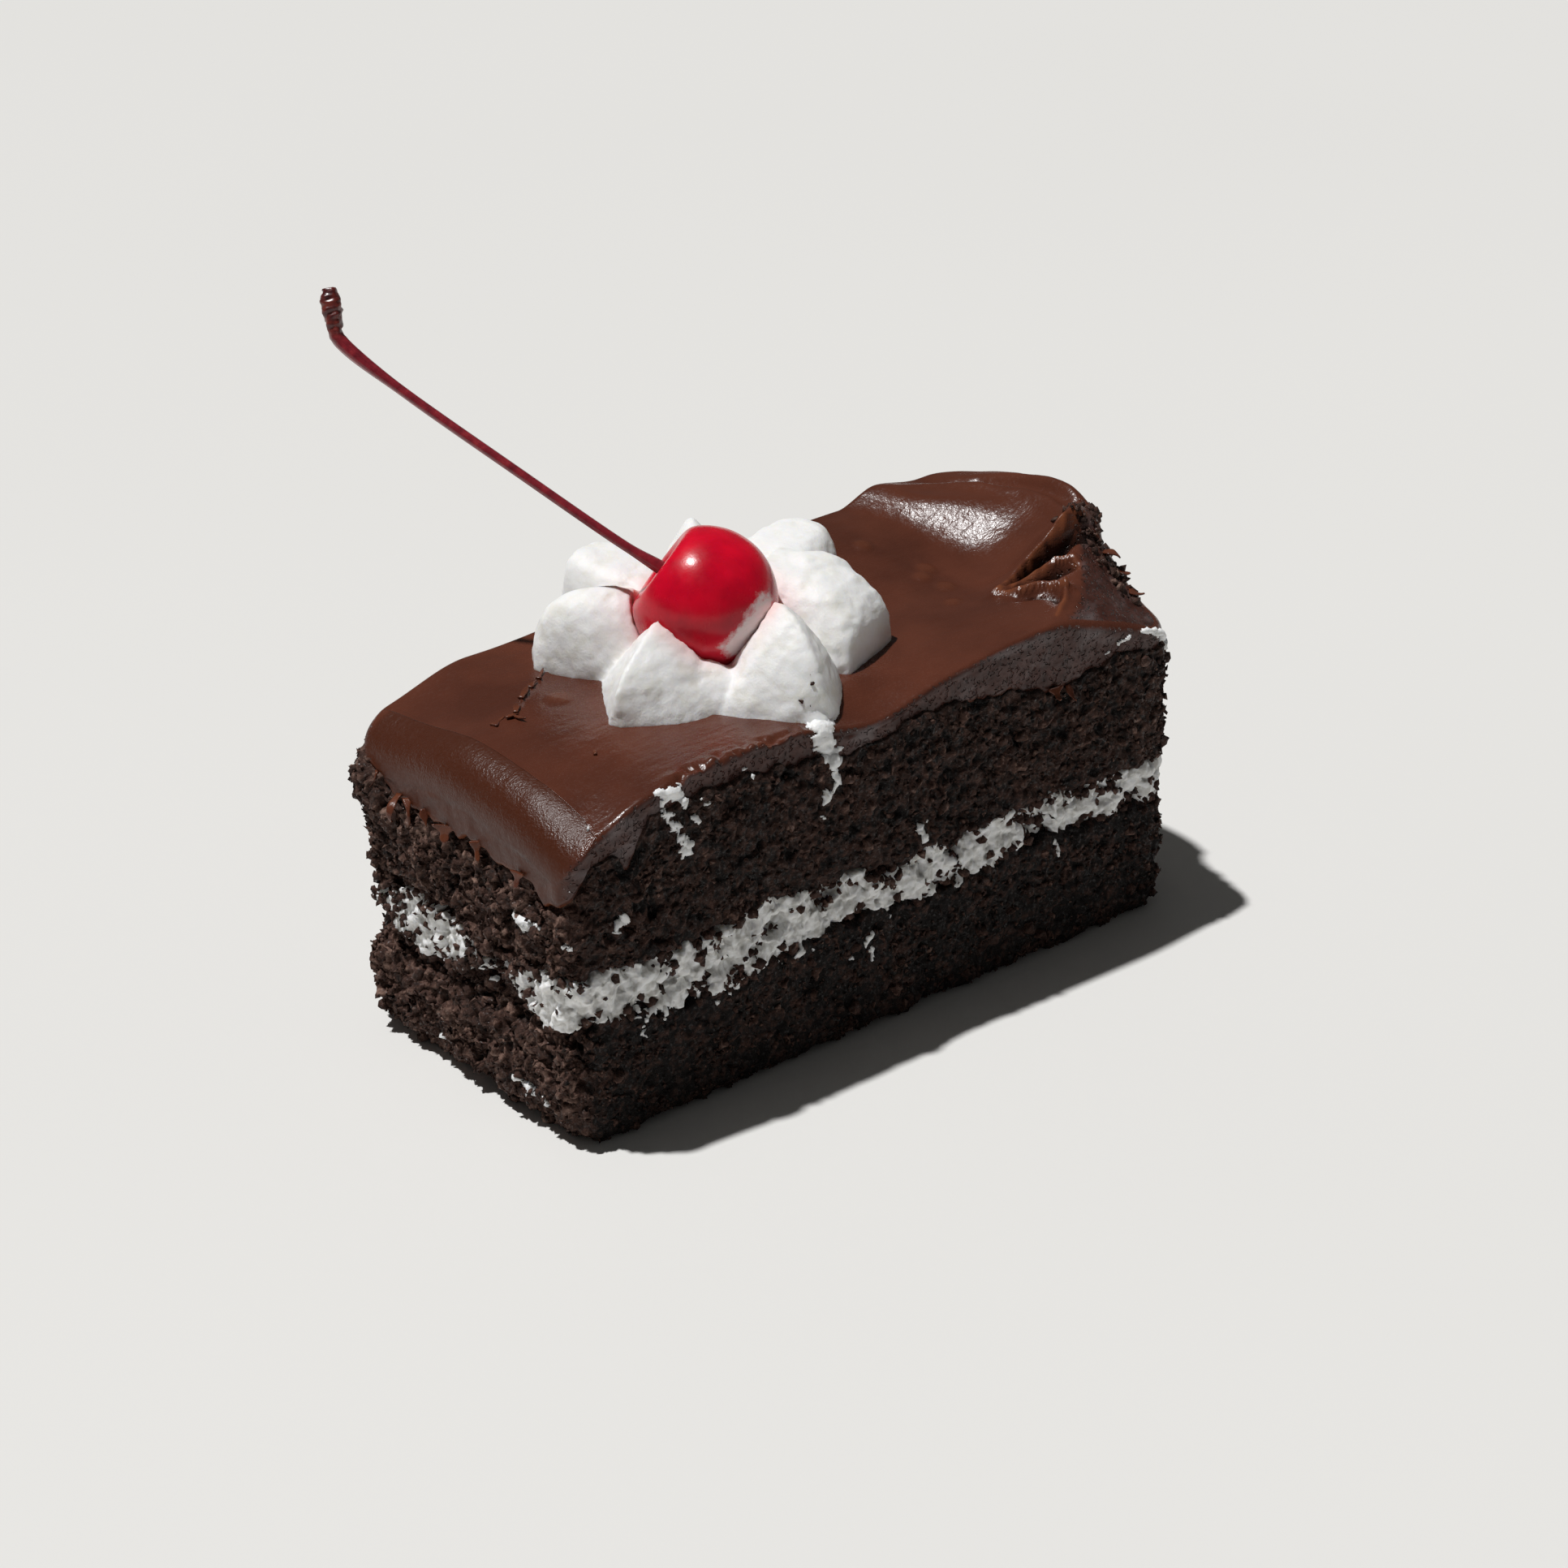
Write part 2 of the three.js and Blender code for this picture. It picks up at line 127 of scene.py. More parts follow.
edge = TABLE_SIZE / 2
corners = [(-edge, -edge, 0), (edge, -edge, 0), (edge, edge, 0), (-edge, edge, 0)]
table_mesh = mesh_of("table", corners, [(0, 1, 2, 3)])
paint, tree, shader = finish("table paint")
soft = ramp(tree, grain(tree, 300.0), [(0.3, TABLE_COLOUR), (0.7, tuple(0.985 * c for c in TABLE_COLOUR))])
join(tree, shader, {"Base Color": soft, "Roughness": 0.62})
table = stood("table", table_mesh, paint)

lamp = stood("lamp", bpy.data.lights.new("lamp", "SUN"))
lamp.data.energy = LAMP_STRENGTH
lamp.data.angle = math.radians(LAMP_SPREAD)
lamp.rotation_mode = "QUATERNION"
lamp.rotation_quaternion = Vector(LAMP_FROM).to_track_quat("Z", "Y")

room = bpy.data.worlds.new("room")
room.use_nodes = True
walls = room.node_tree.nodes["Background"]
join(room.node_tree, walls, {"Color": (*ROOM_COLOUR, 1.0), "Strength": ROOM_STRENGTH})
scene.world = room

azimuth = math.radians(CAMERA_AZIMUTH)
elevation = math.radians(CAMERA_ELEVATION)
roll = math.radians(CAMERA_ROLL)
level = math.cos(elevation)
look = Vector((-math.sin(azimuth) * level, math.cos(azimuth) * level, -math.sin(elevation)))
right = look.cross(Vector((0, 0, 1))).normalized()
up = right.cross(look)
camera_right = right * math.cos(roll) + up * math.sin(roll)
camera_up = up * math.cos(roll) - right * math.sin(roll)
camera = stood("camera", bpy.data.cameras.new("camera"))
camera.data.lens = CAMERA_LENS
camera.data.sensor_width = CAMERA_SENSOR
camera.data.clip_start = 0.02
camera.data.clip_end = 30
turned = Matrix((camera_right, camera_up, -look)).transposed().to_4x4()
camera.matrix_world = Matrix.Translation(Vector(CAMERA_PLACE) * MM) @ turned
scene.camera = camera

# ==== Lower sponge ================================================================================
# The lower layer of dark, moist chocolate sponge. It was baked as a sheet and cut on all four sides,
# so that its faces are torn crumb: grains of about 0.7 mm, with hollows and lumps between them.

HALF_LENGTH = 52.5
HALF_WIDTH = 23.75
CORNER_RADIUS = 4.6
CELLS_LONG = 340
CELLS_SHORT = 150
BOTTOM_EDGE = 2.6
LAYER_ROUNDING = 1.1
SPONGE_PROUD = 0.15
FILLING_MIDDLE = 20.8
FILLING_THICKNESS = 7.0
SPONGE_DARK = (0.0045, 0.0024, 0.0018)
SPONGE_BROWN = (0.062, 0.0285, 0.02)
SPONGE_PALE = (0.29, 0.18, 0.14)


def smooth(start, end, value):
    """Rises from 0 at start to 1 at end, with level ends."""
    t = np.clip((value - start) / (end - start), 0, 1)
    return t * t * (3 - 2 * t)


def bump(value, centre, half_width):
    """A soft bump of height 1."""
    return np.exp(-(((value - centre) / half_width) ** 2))


def lumps(x, y, z, size, seed=0):
    """Soft noise from about -1 to 1, with lumps of size millimetres."""
    x, y, z = np.broadcast_arrays(x, y, z)
    places = np.stack([x / size + 13.7 * seed, y / size, z / size + seed], axis=-1).reshape(-1, 3)
    return np.array([noise.noise(place) for place in places.tolist()]).reshape(x.shape)


def layered(x, y, z, *layers):
    """Soft noise of several sizes: each layer is (height, size, seed)."""
    return sum(height * lumps(x, y, z, size, seed) for height, size, seed in layers)


def rounded_outline(cells_long, cells_short):
    """Points round the slice's plan, a rectangle with rounded corners, anticlockwise from the middle of
    its front left corner, with their outward directions: arrays x, y, out_x and out_y."""
    rows = []
    radius = CORNER_RADIUS
    long_side = (HALF_LENGTH, HALF_WIDTH, cells_long)
    short_side = (HALF_WIDTH, HALF_LENGTH, cells_short)
    for heading, (along, away, cells) in zip((-90, 0, 90, 180), (long_side, short_side) * 2):
        straight = 2 * (along - radius)
        arc = math.pi / 4 * radius
        for step in range(cells):
            s = step / cells * (straight + 2 * arc) - arc
            flat = min(max(s, 0), straight)
            turn = (s - flat) / radius
            run = -along + radius + flat + radius * math.sin(turn)
            off = away - radius + radius * math.cos(turn)
            a = math.radians(heading)
            x = off * math.cos(a) - run * math.sin(a)
            y = off * math.sin(a) + run * math.cos(a)
            rows.append((x, y, math.cos(a + turn), math.sin(a + turn)))
    return np.array(rows).T


def left_end(x):
    return smooth(-HALF_LENGTH + 4, -HALF_LENGTH + 0.5, x)


def right_end(x):
    return smooth(HALF_LENGTH - 5, HALF_LENGTH - 0.5, x)


def front_face(y):
    return smooth(-HALF_WIDTH + 4, -HALF_WIDTH + 0.5, y)


def filling_middle(x, y):
    tilt = bump(x, -52, 12) * (-1 - 2 * y / HALF_WIDTH)
    return FILLING_MIDDLE + tilt + 0.5 * np.sin(x / 7 + y / 9)


def filling_thickness(x, y):
    return FILLING_THICKNESS + 2.6 * bump(x, -25, 12) * front_face(y) + 1.2 * lumps(x, y, 3, 5)


def wall_faces(levels, count):
    """The faces between rings of equally many points."""
    i = np.arange(count)
    j = (i + 1) % count
    low = count * np.arange(levels - 1)[:, None]
    return np.stack([low + i, low + j, low + count + j, low + count + i], axis=-1).reshape(-1, 4).tolist()


def skin(name, rings):
    """A closed mesh through rings of equally many points, from the lowest ring to the highest."""
    rings = np.array(rings)
    levels, count = rings.shape[:2]
    points = np.concatenate([rings.reshape(-1, 3), rings[[0, -1]].mean(axis=1)])
    first = levels * count
    last = (levels - 1) * count
    faces = wall_faces(levels, count)
    faces += [[first, (i + 1) % count, i] for i in range(count)]
    faces += [[first + 1, last + i, last + (i + 1) % count] for i in range(count)]
    return mesh_of(name, points, faces)


def mark(mesh, name, values):
    """Keeps one number at each point of a mesh, and 0 at the points that the numbers don't reach."""
    numbers = np.zeros(len(mesh.vertices), dtype=np.float32)
    numbers[: np.size(values)] = np.ravel(values)
    mesh.attributes.new(name, "FLOAT", "POINT").data.foreach_set("value", numbers)


def tree_with(name, floats):
    """An empty geometry tree, the sockets of its named inputs and its output node."""
    tree = bpy.data.node_groups.new(name, "GeometryNodeTree")
    tree.interface.new_socket("Geometry", in_out="INPUT", socket_type="NodeSocketGeometry")
    for title in floats:
        tree.interface.new_socket(title, in_out="INPUT", socket_type="NodeSocketFloat")
    tree.interface.new_socket("Material", in_out="INPUT", socket_type="NodeSocketMaterial")
    tree.interface.new_socket("Geometry", in_out="OUTPUT", socket_type="NodeSocketGeometry")
    return tree, node(tree, "NodeGroupInput").outputs, node(tree, "NodeGroupOutput")


def grown(name, mesh, tree, settings):
    """A plain mesh object that a geometry tree makes from a mesh."""
    made = stood(name, mesh)
    modifier = made.modifiers.new("grown", "NODES")
    modifier.node_group = tree
    for item in tree.interface.items_tree:
        if item.in_out == "INPUT" and item.name in settings:
            modifier[item.identifier] = settings[item.name]
    evaluated = made.evaluated_get(bpy.context.evaluated_depsgraph_get())
    result = bpy.data.meshes.new_from_object(evaluated)
    made.modifiers.clear()
    made.data = result
    result.name = name
    result.shade_smooth()
    return made


def sums(tree, operation, *values, clamp=False):
    """The result of one math node."""
    inputs = dict(enumerate(values))
    return node(tree, "ShaderNodeMath", inputs, operation=operation, use_clamp=clamp).outputs[0]


def field(tree, size, detail=1.0, roughness=0.5):
    """Noise from about -1 to 1 over a geometry tree's points."""
    inputs = {"Scale": 1 / (size * MM), "Detail": detail, "Roughness": roughness}
    made = node(tree, "ShaderNodeTexNoise", inputs)
    return sums(tree, "MULTIPLY_ADD", made.outputs[0], 4.0, -2.0)


def beads(tree, size):
    """Round grains: 1 in the middle of each and falling to 0 between them."""
    made = node(tree, "ShaderNodeTexVoronoi", {"Scale": 1 / (size * MM)})
    near = sums(tree, "DIVIDE", made.outputs["Distance"], 0.62)
    return sums(tree, "SUBTRACT", 1.0, sums(tree, "MULTIPLY", near, near), clamp=True)


def scaled(tree, value, amount):
    """A value times a length in millimetres."""
    return sums(tree, "MULTIPLY", value, sums(tree, "MULTIPLY", amount, MM))


def relief(tree, shader, heights):
    """Joins (height, strength, depth in millimetres) one after another into the shader's normal."""
    normal = None
    for height, strength, depth in heights:
        inputs = {"Height": height, "Strength": strength, "Distance": depth * MM}
        if normal is not None:
            inputs["Normal"] = normal
        normal = node(tree, "ShaderNodeBump", inputs).outputs[0]
    tree.links.new(normal, shader.inputs["Normal"])


def vectors(tree, operation, inputs):
    """The result of one vector math node."""
    return node(tree, "ShaderNodeVectorMath", inputs, operation=operation).outputs[0]


def swayed(tree, size, detail, reach):
    """Vectors of noise with lumps of about size millimetres, up to half of reach each way."""
    swirl = node(tree, "ShaderNodeTexNoise", {"Scale": 1 / (size * MM), "Detail": detail}).outputs[1]
    level = vectors(tree, "SUBTRACT", {0: swirl, 1: (0.5, 0.5, 0.5)})
    return vectors(tree, "SCALE", {0: level, "Scale": reach})


def marked(tree, name):
    """The numbers that a mesh keeps under a name."""
    if tree.bl_idname == "ShaderNodeTree":
        return node(tree, "ShaderNodeAttribute", attribute_name=name).outputs["Fac"]
    return node(tree, "GeometryNodeInputNamedAttribute", {"Name": name}, data_type="FLOAT").outputs[0]


def with_height(tree, geometry, height):
    """The geometry, with a number kept at its points as hollow_shade_and_tone, for the finish's colour."""
    inputs = {"Geometry": geometry, "Name": "hollow_shade_and_tone", "Value": height}
    kept = node(tree, "GeometryNodeStoreNamedAttribute", inputs, data_type="FLOAT", domain="POINT")
    return kept.outputs[0]


def in_material(tree, geometry, given, out):
    """Gives the geometry its material and ends the tree with it."""
    dressed = node(tree, "GeometryNodeSetMaterial", {"Geometry": geometry, "Material": given["Material"]})
    tree.links.new(dressed.outputs[0], out.inputs[0])


def on_the_table(tree, geometry):
    """The geometry, with whatever lies lower than the table lifted onto it."""
    parts = node(tree, "ShaderNodeSeparateXYZ", {0: node(tree, "GeometryNodeInputPosition").outputs[0]})
    level = sums(tree, "MAXIMUM", parts.outputs[2], 0.0)
    flat = node(tree, "ShaderNodeCombineXYZ", {0: parts.outputs[0], 1: parts.outputs[1], 2: level})
    lifted = node(tree, "GeometryNodeSetPosition", {"Geometry": geometry, "Position": flat.outputs[0]})
    return lifted.outputs[0]


# Torn crumb: lumps, grains on them, small holes and deep hollows, pushed out along the face and swayed
# sideways where it is open.
tree, crumb_in, crumb_out = tree_with("torn crumb", ["Lumps", "Grains", "Hollows", "Sway"])
crumb_tree = tree
broad = field(tree, 6.0, 5.0, 0.62)
fine = sums(tree, "MULTIPLY_ADD", beads(tree, 0.6), 0.6, beads(tree, 1.15))
fine = sums(tree, "MULTIPLY", fine, sums(tree, "MULTIPLY_ADD", field(tree, 3.2), 0.3, 0.75))
small_hole = sums(tree, "SUBTRACT", field(tree, 1.8, 2.0), 0.38, clamp=True)
deep_hollow = sums(tree, "SUBTRACT", field(tree, 4.4, 3.0, 0.6), 0.34, clamp=True)
hole = sums(tree, "MULTIPLY_ADD", deep_hollow, 1.5, small_hole)
height = sums(tree, "ADD", scaled(tree, broad, crumb_in["Lumps"]), scaled(tree, fine, crumb_in["Grains"]))
height = sums(tree, "SUBTRACT", height, scaled(tree, hole, crumb_in["Hollows"]))
shown = sums(tree, "MULTIPLY_ADD", field(tree, 1.3, 3.0, 0.6), 0.3, sums(tree, "MULTIPLY", fine, 0.62))
# Kept for the finish: high on the grains and low in the holes and hollows, so that shade is painted into the
# hollows and light onto the grains.
kept = with_height(tree, crumb_in["Geometry"], sums(tree, "SUBTRACT", shown, hole))
facing = node(tree, "GeometryNodeInputNormal").outputs[0]
outward = vectors(tree, "SCALE", {0: facing, "Scale": height})
sway = swayed(tree, 1.7, 2.0, scaled(tree, 1.0, crumb_in["Sway"]))
move = vectors(tree, "ADD", {0: outward, 1: sway})
move = vectors(tree, "SCALE", {0: move, "Scale": marked(tree, "open_face")})
torn = node(tree, "GeometryNodeSetPosition", {"Geometry": kept, "Offset": move})
whole = node(tree, "GeometryNodeRealizeInstances", {"Geometry": on_the_table(tree, torn.outputs[0])})
in_material(tree, whole.outputs[0], crumb_in, crumb_out)

# The crumb is dark brown, with a tone that changes at random. Shade is painted near black into its
# hollows and light is painted brown onto its raised grains, pale onto the highest as painted glints.
# Its left end is painted lighter and the lower layer's front darker, as the lamp lights them. Its
# patchy roughness gives it moist glints as well.
sponge_finish, tree, shader = finish("chocolate sponge")
mixed = sums(tree, "MULTIPLY", marked(tree, "hollow_shade_and_tone"), 0.42)
mixed = sums(tree, "MULTIPLY_ADD", grain(tree, 0.55, 3.0), 0.5, mixed)
mixed = sums(tree, "MULTIPLY_ADD", grain(tree, 7.0), 0.25, mixed)
mixed = sums(tree, "MULTIPLY_ADD", marked(tree, "painted_light_and_shade"), 0.09, mixed)
brown = ramp(tree, mixed, [(0.34, SPONGE_DARK), (0.64, SPONGE_BROWN), (0.95, SPONGE_PALE)])
gloss = ramp(tree, grain(tree, 0.45, 1.0, seed=3), [(0.55, 0.85), (0.66, 0.24)])
join(tree, shader, {"Base Color": brown, "Roughness": gloss, "Specular IOR Level": 0.3})
relief(tree, shader, [(grain(tree, 0.9, 2.0), 0.8, 0.4), (grain(tree, 0.3, 2.0), 0.8, 0.22)])

x, y, out_x, out_y = rounded_outline(CELLS_LONG, CELLS_SHORT)


def ring(inset, height):
    """A ring round the slice, moved in by inset and at a height."""
    return np.stack([x - out_x * inset, y - out_y * inset, np.broadcast_to(height, x.shape)], axis=1)


left = left_end(x)
front = front_face(y)
edge_radius = BOTTOM_EDGE * (1 + left + right_end(x)) + 0.5 * lumps(x, y, 0, 6, 2)
ragged = layered(x, y, 1, (1.1, 3.6, 50), (0.7, 1.5, 51))
lower_top = filling_middle(x, y) - filling_thickness(x, y) / 2 + 0.5 + ragged
recess = 1.8 * left
rings = []
shares = []
for t in np.linspace(0, 1, 13):
    turn = t * math.pi / 2
    rings.append(ring(edge_radius * (1 - math.sin(turn)) - SPONGE_PROUD, edge_radius * (1 - math.cos(turn))))
    shares.append(smooth(0.0, 0.25, t))
shoulder = lower_top - LAYER_ROUNDING
for t in np.linspace(0, 1, 58)[1:]:
    rings.append(ring(recess * smooth(0.6, 1, t) - SPONGE_PROUD, edge_radius + (shoulder - edge_radius) * t))
    shares.append(1.0)
for t in np.linspace(0, 1, 6)[1:]:
    turn = t * math.pi / 2
    inset = recess + LAYER_ROUNDING * (1 - math.cos(turn))
    rings.append(ring(inset - SPONGE_PROUD, shoulder + LAYER_ROUNDING * math.sin(turn)))
    shares.append(1.0 - 0.3 * t)
rings.append(ring(5.0, lower_top - ragged))
shares.append(0.0)
mesh = skin("sponge_layer_lower", rings)
coarse = 0.72 + 0.5 * left + 0.2 * right_end(x)
mark(mesh, "open_face", np.outer(shares, coarse - 0.12 * front * (1 - left)))
# Painted light and shade: the left end, which the lamp grazes, lighter, and the front, in shade, darker.
mark(mesh, "painted_light_and_shade", np.tile(1.5 * left - 1.1 * front * (1 - left), len(shares)))
sponge_growth = {"Lumps": 0.85, "Grains": 0.42, "Hollows": 1.5, "Sway": 2.6, "Material": sponge_finish}
sponge_layer_lower = grown("sponge_layer_lower", mesh, crumb_tree, sponge_growth)
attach(sponge_layer_lower, "root")
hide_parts("sponge_lower")

# ==== Cream filling ===============================================================================
# Whipped cream between the two layers. The knife dragged it over the torn edges of the sponge, so
# that its borders are ragged, and its open face is airy with small pits.

CREAM_PALE = (0.92, 0.92, 0.91)
CREAM_DEEP = (0.58, 0.57, 0.54)
CREAM_OVERLAP = 3.4

filling_finish, tree, shader = finish("whipped filling")
# The cream is white with a tone that changes at random, and painted shade turns it grey-beige in the hollows
# of its torn face.
mixed = sums(tree, "MULTIPLY", marked(tree, "hollow_shade_and_tone"), 0.3)
mixed = sums(tree, "MULTIPLY_ADD", grain(tree, 1.1, 3.0), 0.5, mixed)
tone = ramp(tree, mixed, [(0.2, CREAM_DEEP), (0.36, CREAM_PALE)])
join(tree, shader, {"Base Color": tone, "Roughness": 0.6, "Subsurface Weight": 0.3})
join(tree, shader, {"Subsurface Radius": (1.0, 0.9, 0.75), "Subsurface Scale": 0.9 * MM})
relief(tree, shader, [(grain(tree, 0.7, 3.0), 0.7, 0.3)])


def cream_patches(py, pz):
    """Where cream covers the left end: one patch at the back and one at the front corner."""
    back = np.exp(-((np.hypot((py - 8) / 9.5, (pz - 21) / 7.0)) ** 4))
    near = np.exp(-((np.hypot((py + 19) / 8.5, (pz - 19) / 6.0)) ** 4))
    return np.maximum(back, near)


# Places on the long front face where crumb hides the cream: x, height and their two reaches.
GAPS = [
    (-37.8, 20.6, 2, 0.9),
    (-27.2, 14.6, 3, 1.5),
    (-20.5, 21, 1.6, 0.9),
    (-10.9, 23.6, 2.3, 1.9),
    (-5.8, 18.1, 2.6, 1.5),
    (-0.6, 25.2, 3, 1.7),
    (10.5, 18, 2.6, 1.5),
    (13.5, 25.2, 2.4, 1.1),
    (24.2, 23.6, 2.4, 2.2),
    (26.8, 20, 3, 3),
    (36, 16.4, 3.4, 2.6),
    (44.6, 18.2, 1.6, 1.8),
]


def cream_gaps(px, py, pz):
    """1 in the places on the front face where crumb hides the cream."""
    off = [np.hypot((px - gx) / wide, (pz - gz) / high) for gx, gz, wide, high in GAPS]
    share = np.exp(-(np.min(off, axis=0) ** 3))
    return smooth(0.3, 0.6, share + 0.4 * lumps(px, py, pz, 1.5, 34)) * front_face(py)


middle = filling_middle(x, y)
half = filling_thickness(x, y) / 2
fringe = 0.8 + 1.2 * smooth(-8, -16, x) * smooth(-46, -38, x) * front
rings = [ring(6.0, middle - half + 1)]
shares = [0.0]
for t in np.linspace(-1, 1, 58):
    height = middle + t * (half + CREAM_OVERLAP)
    ragged = layered(x, y, height, (1.5, 4.2, 4), (1.2, 1.7, 5), (0.6, 0.8, 6))
    ragged = ragged + fringe * (height < middle) * lumps(x, y, height * 0.3, 1.2, 33)
    patch = cream_patches(y, height)
    past = np.abs(height - middle) - half - ragged - 2.2 * patch * left
    bare = 3.2 * (1 - patch) * left
    torn = smooth(0.3, 0.6, layered(x, y, height, (1, 3.4, 8), (0.5, 1.1, 9)))
    sunk = 0.1 + 3.0 * smooth(-0.4, 0.7, past + bare) + 1.1 * torn * (1 - left * patch)
    sunk = sunk + 1.3 * cream_gaps(x, y, height) - 0.5 * smooth(-18, -34, x) * front
    rings.append(ring(sunk - layered(x, y, height, (0.7, 3.0, 7), (0.45, 1.2, 10)), height))
    shares.append(1.0)
rings.append(ring(6.0, middle + half - 1))
shares.append(0.0)
mesh = skin("cream_layer", rings)
mark(mesh, "open_face", np.repeat(shares, len(x)))
growth = {"Lumps": 0.45, "Grains": 0.26, "Hollows": 0.9, "Sway": 1.7, "Material": filling_finish}
cream_layer = grown("cream_layer", mesh, crumb_tree, growth)
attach(cream_layer, "root")
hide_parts("cream_filling")

# ==== Upper sponge ================================================================================
# The upper layer of the same sponge. Its top lies under the frosting, sags a little under the
# rosette and falls to the right. Its torn faces show between the filling and the frosting.

SPONGE_TOP = 45.4
FROSTING_TOP = 48.3
THINNEST_FROSTING = 2.0
SHEAR_X, SHEAR_Y, SHEAR_Z = 29.0, -23.75, 50.2
SHEAR_HEADING = math.radians(38.5)
SHEAR_SLOPE = 0.73
SHEAR_CLIMB = 0.13


def eased_min(a, b, k):
    """The smaller of two heights, with the edge between them eased over about k."""
    t = np.maximum(k - np.abs(a - b), 0) / k
    return np.minimum(a, b) - t * t * k / 4


def sheared_face(x, y):
    """The face that the knife left where it took off the frosting's front right corner."""
    dx = x - SHEAR_X
    dy = y - SHEAR_Y
    along = dx * math.cos(SHEAR_HEADING) + dy * math.sin(SHEAR_HEADING)
    across = dx * math.sin(SHEAR_HEADING) - dy * math.cos(SHEAR_HEADING)
    scoop = 1.4 * bump(across, 8, 4) * smooth(12, 22, along)
    return SHEAR_Z + SHEAR_CLIMB * along - SHEAR_SLOPE * across - scoop


def spread_top(x, y):
    """The frosting's top as it was spread and swirled, before the cut and the roll over the left end."""
    left_fall = smooth(-34, -HALF_LENGTH, x) * (0.9 + 3 * smooth(0, 22, y))
    front_rise = 1.7 * smooth(6, 30, x) * smooth(0, -20, y)
    front_dip = 2.6 * bump(x, -3, 9) * smooth(-15, -23, y)
    corner_fall = 1.6 * smooth(-28, -48, x) * smooth(4, -HALF_WIDTH, y)
    corner_fall = corner_fall + 2.3 * smooth(-40, -50, x) * smooth(-11, -25, y)
    wall_run = 10.0 - 4.2 * smooth(6, 17, y)
    wall = np.clip((0.88 * (x - 40.6) + 0.47 * (y - 11) - 0.3) / wall_run + 0.5, 0, 1)
    wall = 0.25 * wall + 0.75 * smooth(0, 1, wall)
    ridge = smooth(0.05, 0.97, (np.maximum(x - 28, 0) / 23) ** 2)
    ridge = ridge + (wall - ridge) * smooth(-3, 9, y)
    back_rise = 3.3 * smooth(-32, 12, x) * smooth(-4, 22, y) * (1 - ridge)
    swirl = 5.4 * ridge - 1.1 * smooth(12, 23, y) * smooth(38, 46, x)
    dish = 1.0 * bump(x, 37, 7) * bump(y, 6, 9)
    lip = 2.6 * smooth(50.0, 54.5, x) * bump(y, 3, 9.5)
    return FROSTING_TOP + back_rise - left_fall + front_rise - front_dip - corner_fall + swirl - dish + lip


def frosting_top(x, y):
    return eased_min(spread_top(x, y), sheared_face(x, y), 1.2)


def sponge_top(x, y):
    sag = 2.2 * bump(x, -7, 9) * smooth(-6, -22, y)
    fall = 3.2 * smooth(6, 28, x) - 1.2 * smooth(33, 46, x)
    return eased_min(SPONGE_TOP - sag - fall, frosting_top(x, y) - THINNEST_FROSTING, 1)


def frosting_edge(x, y):
    """The frosting's ragged lower edge."""
    front = front_face(y)
    skirt = 7.4 - 2.4 * smooth(-18, -23.2, y) - 1.0 * smooth(-12, 2, y) - 4.6 * smooth(10, 22, y)
    skirt = skirt * left_end(x)
    corner = 0.8 * bump(x, -46.5, 3) * front
    spike = 4.6 * bump(x, -43.4, 1.7) * front
    shoulder = 1.6 * bump(x, 31, 5) * front
    ragged = layered(x, y, 7, (0.9, 3.2, 6), (0.6, 1.3, 7))
    often = np.clip(0.5 + 1.2 * lumps(x, y, 7, 5, 28), 0, 1.3)
    torn_points = (0.3 + 1.5 * left_end(x)) * often * np.exp(-4 * np.abs(lumps(x, y, 7, 3.4, 27)))
    return sponge_top(x, y) - 0.9 - skirt - corner - spike - shoulder + np.minimum(ragged, 0.7) - torn_points


ragged = layered(x, y, 1, (1.1, 3.6, 60), (0.7, 1.5, 61))
upper_under = filling_middle(x, y) + filling_thickness(x, y) / 2 - 0.5 + ragged
shoulder = upper_under + LAYER_ROUNDING
ledge = frosting_edge(x, y) + 0.3
rings = [ring(5.0, upper_under - ragged)]
shares = [0.0]
for t in np.linspace(0, 1, 6)[:-1]:
    turn = t * math.pi / 2
    inset = LAYER_ROUNDING * (1 - math.sin(turn))
    rings.append(ring(inset - SPONGE_PROUD, shoulder - LAYER_ROUNDING * math.cos(turn)))
    shares.append(0.7 + 0.3 * t)
for t in np.linspace(0, 1, 72):
    height = shoulder + (ledge - shoulder) * t
    clump = 2.6 * bump(y, 20.5, 4.5) * bump(height, 37.5, 4.5) + 1.2 * bump(y, 12, 4) * bump(height, 31, 4)
    under_skirt = 1.0 * smooth(0.7, 0.97, t) + 0.8 * smooth(0.25, 0.0, t)
    rings.append(ring((under_skirt - clump) * left - SPONGE_PROUD, height))
    shares.append(1.0 - 0.35 * smooth(0.95, 1, t))
rings.append(ring(1.8 + 1.2 * left, ledge + 0.5))
rings.append(ring(2.8 + left, np.maximum(sponge_top(x, y) - 0.8, ledge + 0.6)))
shares += [0.2, 0.0]
mesh = skin("sponge_layer_upper", rings)
mark(mesh, "open_face", np.outer(shares, coarse))
# Painted light: the left end, which the lamp grazes, lighter.
mark(mesh, "painted_light_and_shade", np.tile(1.6 * left, len(shares)))
sponge_layer_upper = grown("sponge_layer_upper", mesh, crumb_tree, sponge_growth)
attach(sponge_layer_upper, "root")
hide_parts("sponge_upper")

# ==== Chocolate frosting ==========================================================================
# Soft chocolate frosting, spread over the top and down the left end with a palette knife and swirled
# up at the far right. The knife cut it with the sponge, and tore it at the front right corner.

